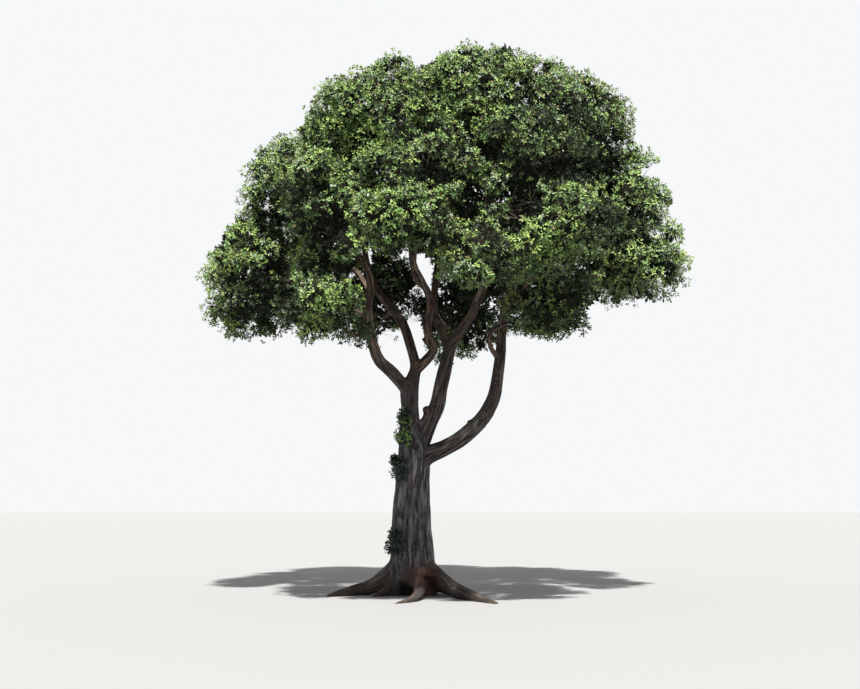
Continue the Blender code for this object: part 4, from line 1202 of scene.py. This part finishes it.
clumps = growClumps()
print("clumps:", len(clumps["size"]), "of them inside", int(clumps["inner"].sum()))
fine = {name: [] for name in leafLooks}
shadeLeaves = []
twigShapes = []
spikeRoots, spikeTips = [], []
for number, name in enumerate(masses):
    chance = np.random.default_rng(1000 + number)
    centre = np.array(masses[name][0])
    branches = growBranches(name, chance)
    for way, line in branches:
        twigShapes.append(tubeShape(line, np.linspace(*crown["branchRadii"], len(line)), 4))
    branchWays = np.array([way for way, _ in branches])
    for middle in clumps["middle"][clumps["owner"] == number]:
        line = branches[int((branchWays @ unit(middle - centre)).argmax())][1]
        start = line[chance.integers(2, 4)]
        twig = branchLine(start, middle, chance.normal(0, 0.02, 3), 3)
        twigShapes.append(tubeShape(twig, (0.0075, 0.005, 0.003), 3))
    rows = growSprays(number, name, chance)
    spikeRoots.append(rows[:, 8:11])
    spikeTips.append(rows[:, :3])
    leaves = leavesRound(rows[:, :3], rows[:, 3:6], spray, chance)
    byLeaf = dealLooks(rows, chance)
    for look in leafLooks:
        chosen = byLeaf == look
        if chosen.any():
            fine[look].append([part[chosen] for part in leaves])
    shade = growShade(number, name, chance)
    shadeLeaves.append(leavesRound(shade[:, :3], shade[:, 3:6], shadeSpray, chance))

# dark sprays in the heart of the crown, so that no sky shows between the masses; their near-black
# green is painted shade
chance = np.random.default_rng(5)
for middle, reach, number in crown["backing"]:
    far = chance.uniform(0.05, 1, (number, 1)) ** 0.5
    places = np.array(middle) + evenWays(number, 0.0) * np.array(reach) * far
    free = roomRound(places, list(lines.values())) > crown["limbRoom"] + crown["shadeRoom"]
    places = places[free & ~throughOpening(places)]
    axes = unit(chance.normal(0, 1, places.shape))
    shadeLeaves.append(leavesRound(places, axes, shadeSpray, chance))

foliageNodes = ["foliage_" + mass for mass in masses]


def addLeaves(name, material, groups, outline, faces, most):
    # most is the number of leaves in one piece
    leaves = [np.concatenate(parts) for parts in zip(*groups)]
    parts = math.ceil(len(leaves[0]) / most)
    for part in range(parts):
        some = [rows[part::parts] for rows in leaves]
        piece = addMesh(f"{name}_{part + 1}", *leafArrays(some, outline, faces))
        dress(piece, material, foliageNodes)
    print(name, len(leaves[0]))
    return len(leaves[0])


leafTotal = 0
for look, groups in fine.items():
    material = plainMaterial(look, *leafLooks[look])
    leafTotal += addLeaves(look, material, groups, leafOutline, leafFaces, 48000)
    if look == "leaves_shade":
        addLeaves("leaves_behind", material, shadeLeaves, shadeOutline, shadeFaces, 90000)
print("leaves in all:", leafTotal, "triangles", leafTotal * 4)


def spikes(roots, tips, thick):  # thin three-sided twigs
    way = unit(tips - roots)
    side = unit(np.cross(way, up + 0.01))
    other = np.cross(way, side)
    turns = [2 * math.pi * k / 3 for k in range(3)]
    ring = [roots + thick * (side * math.cos(t) + other * math.sin(t)) for t in turns]
    points = np.stack([*ring, tips], axis=1).reshape(-1, 3)
    start = np.arange(len(roots))[:, None, None] * 4
    faces = np.array([(0, 1, 3), (1, 2, 3), (2, 0, 3)])[None] + start
    return points, faces.reshape(-1, 3)


twigBark = plainMaterial("twig_bark", (0.050, 0.037, 0.029), 0.85, 0.25)
branchPiece = addMesh("branches", *joinShapes(twigShapes))
shadeSmooth(branchPiece)
dress(branchPiece, twigBark, foliageNodes)
twigPiece = addMesh(
    "twigs", *spikes(np.concatenate(spikeRoots), np.concatenate(spikeTips), 0.0035)
)
dress(twigPiece, twigBark, foliageNodes)
print("twigs:", len(branchPiece.data.polygons) + len(twigPiece.data.polygons), "faces")


# tufts of shoots on the bark of the trunk

# height, angle and reach of each tuft's lobes, and how many sprays are light ones
tufts = {
    "shoots_upper": ([(2.84, 250, (0.13, 0.13, 0.17)), (2.53, 247, (0.17, 0.16, 0.20))], 0.4),
    "shoots_middle": ([(1.97, 242, (0.19, 0.18, 0.19)), (2.14, 213, (0.09, 0.09, 0.11))], 0.06),
    "shoots_low": ([(0.96, 238, (0.16, 0.16, 0.16)), (0.78, 236, (0.18, 0.17, 0.19))], 0.05),
}
tuftSprays = 95
tuftSpray = {"leaves": 6, "length": (0.040, 0.064), "width": 0.55}
# the dark shoots' near-black green is partly their own deep green, partly painted shade
shootLooks = {"shoots_dark": (0.008, 0.017, 0.011), "shoots_light": (0.130, 0.225, 0.048)}


def growTufts():
    chance = np.random.default_rng(77)
    stem = lines["trunk"] + lines["bough_left_stem"][1:]
    groups = {look: [] for look in shootLooks}
    roots, tips = [], []
    for lobes, lightShare in tufts.values():
        for height, angle, reach in lobes:
            middle, radius, _ = atHeight(stem, height)
            turn = math.radians(angle)
            way = np.array([math.cos(turn), math.sin(turn), 0])
            centre = np.array(middle) + way * (radius + reach[0] * 0.75)
            around = evenWays(tuftSprays, chance.uniform(0, 6.28))
            around = around[around @ way > -0.55]
            share = chance.uniform(0.30, 0.92, (len(around), 1))
            places = centre + around * np.array(reach) * share
            places = places[roomRound(places, [stem]) > 0.03]
            axes = unit(places - centre + 0.05 * way + 0.06 * up)
            foot = np.array(middle) + way * radius * 0.9
            roots.append(np.tile(foot, (len(places), 1)) + (places - centre) * 0.3)
            tips.append(places)
            light = chance.uniform(0, 1, len(places)) < lightShare
            light &= share[: len(places), 0] > 0.5
            for look, chosen in (("shoots_dark", ~light), ("shoots_light", light)):
                if chosen.any():
                    some = leavesRound(places[chosen], axes[chosen], tuftSpray, chance)
                    groups[look].append(some)
    return groups, np.concatenate(roots), np.concatenate(tips)


tuftLeaves, tuftRoots, tuftTips = growTufts()
for look, colour in shootLooks.items():
    someLeaves = [np.concatenate(rows) for rows in zip(*tuftLeaves[look])]
    shootPiece = addMesh(look, *leafArrays(someLeaves, leafOutline, leafFaces))
    dress(shootPiece, plainMaterial(look, colour, 0.5), list(tufts))
    print(look, len(someLeaves[0]))
stalkPiece = addMesh("shoot_stalks", *spikes(tuftRoots, tuftTips, 0.004))
dress(stalkPiece, twigBark, [])


# the studio: pale floor, soft light, and the camera at the photograph's angle

studio = {
    "floor": (0.195, 0.195, 0.195),
    "sky": (0.97, 0.985, 1.0),
    "skyStrength": 0.95,
    "sunStrength": 12.5,
    "sunColour": (1.0, 0.98, 0.94),
    "sunSoftness": 1.5,  # degrees
    "sunHeight": 62.5,
    "sunTurn": 5,  # from behind the camera, to the right
}
deselect()
bpy.ops.mesh.primitive_plane_add(size=160, location=(0, 0, 0))
floor = bpy.context.object
floor.name = "floor"
floor.data.materials.append(plainMaterial("pale_floor", studio["floor"], 0.9, 0.1))

world = bpy.data.worlds.new("studio")
bpy.context.scene.world = world
world.use_nodes = True
backdrop = world.node_tree.nodes["Background"]
backdrop.inputs["Color"].default_value = (*studio["sky"], 1)
backdrop.inputs["Strength"].default_value = studio["skyStrength"]

bpy.ops.object.light_add(type="SUN", location=(0, 0, 12))
sun = bpy.context.object
sun.data.energy = studio["sunStrength"]
sun.data.angle = math.radians(studio["sunSoftness"])
sun.data.color = studio["sunColour"]
sun.rotation_euler = (math.radians(90 - studio["sunHeight"]), 0, math.radians(studio["sunTurn"]))

view = {"place": openings["from"], "tilt": 97.8, "lens": 45.795, "sensor": 36}
bpy.ops.object.camera_add(location=view["place"], rotation=(math.radians(view["tilt"]), 0, 0))
camera = bpy.context.object
camera.data.lens = view["lens"]
camera.data.sensor_width = view["sensor"]
camera.data.clip_end = 300
bpy.context.scene.camera = camera
bpy.context.scene.view_settings.view_transform = "Standard"
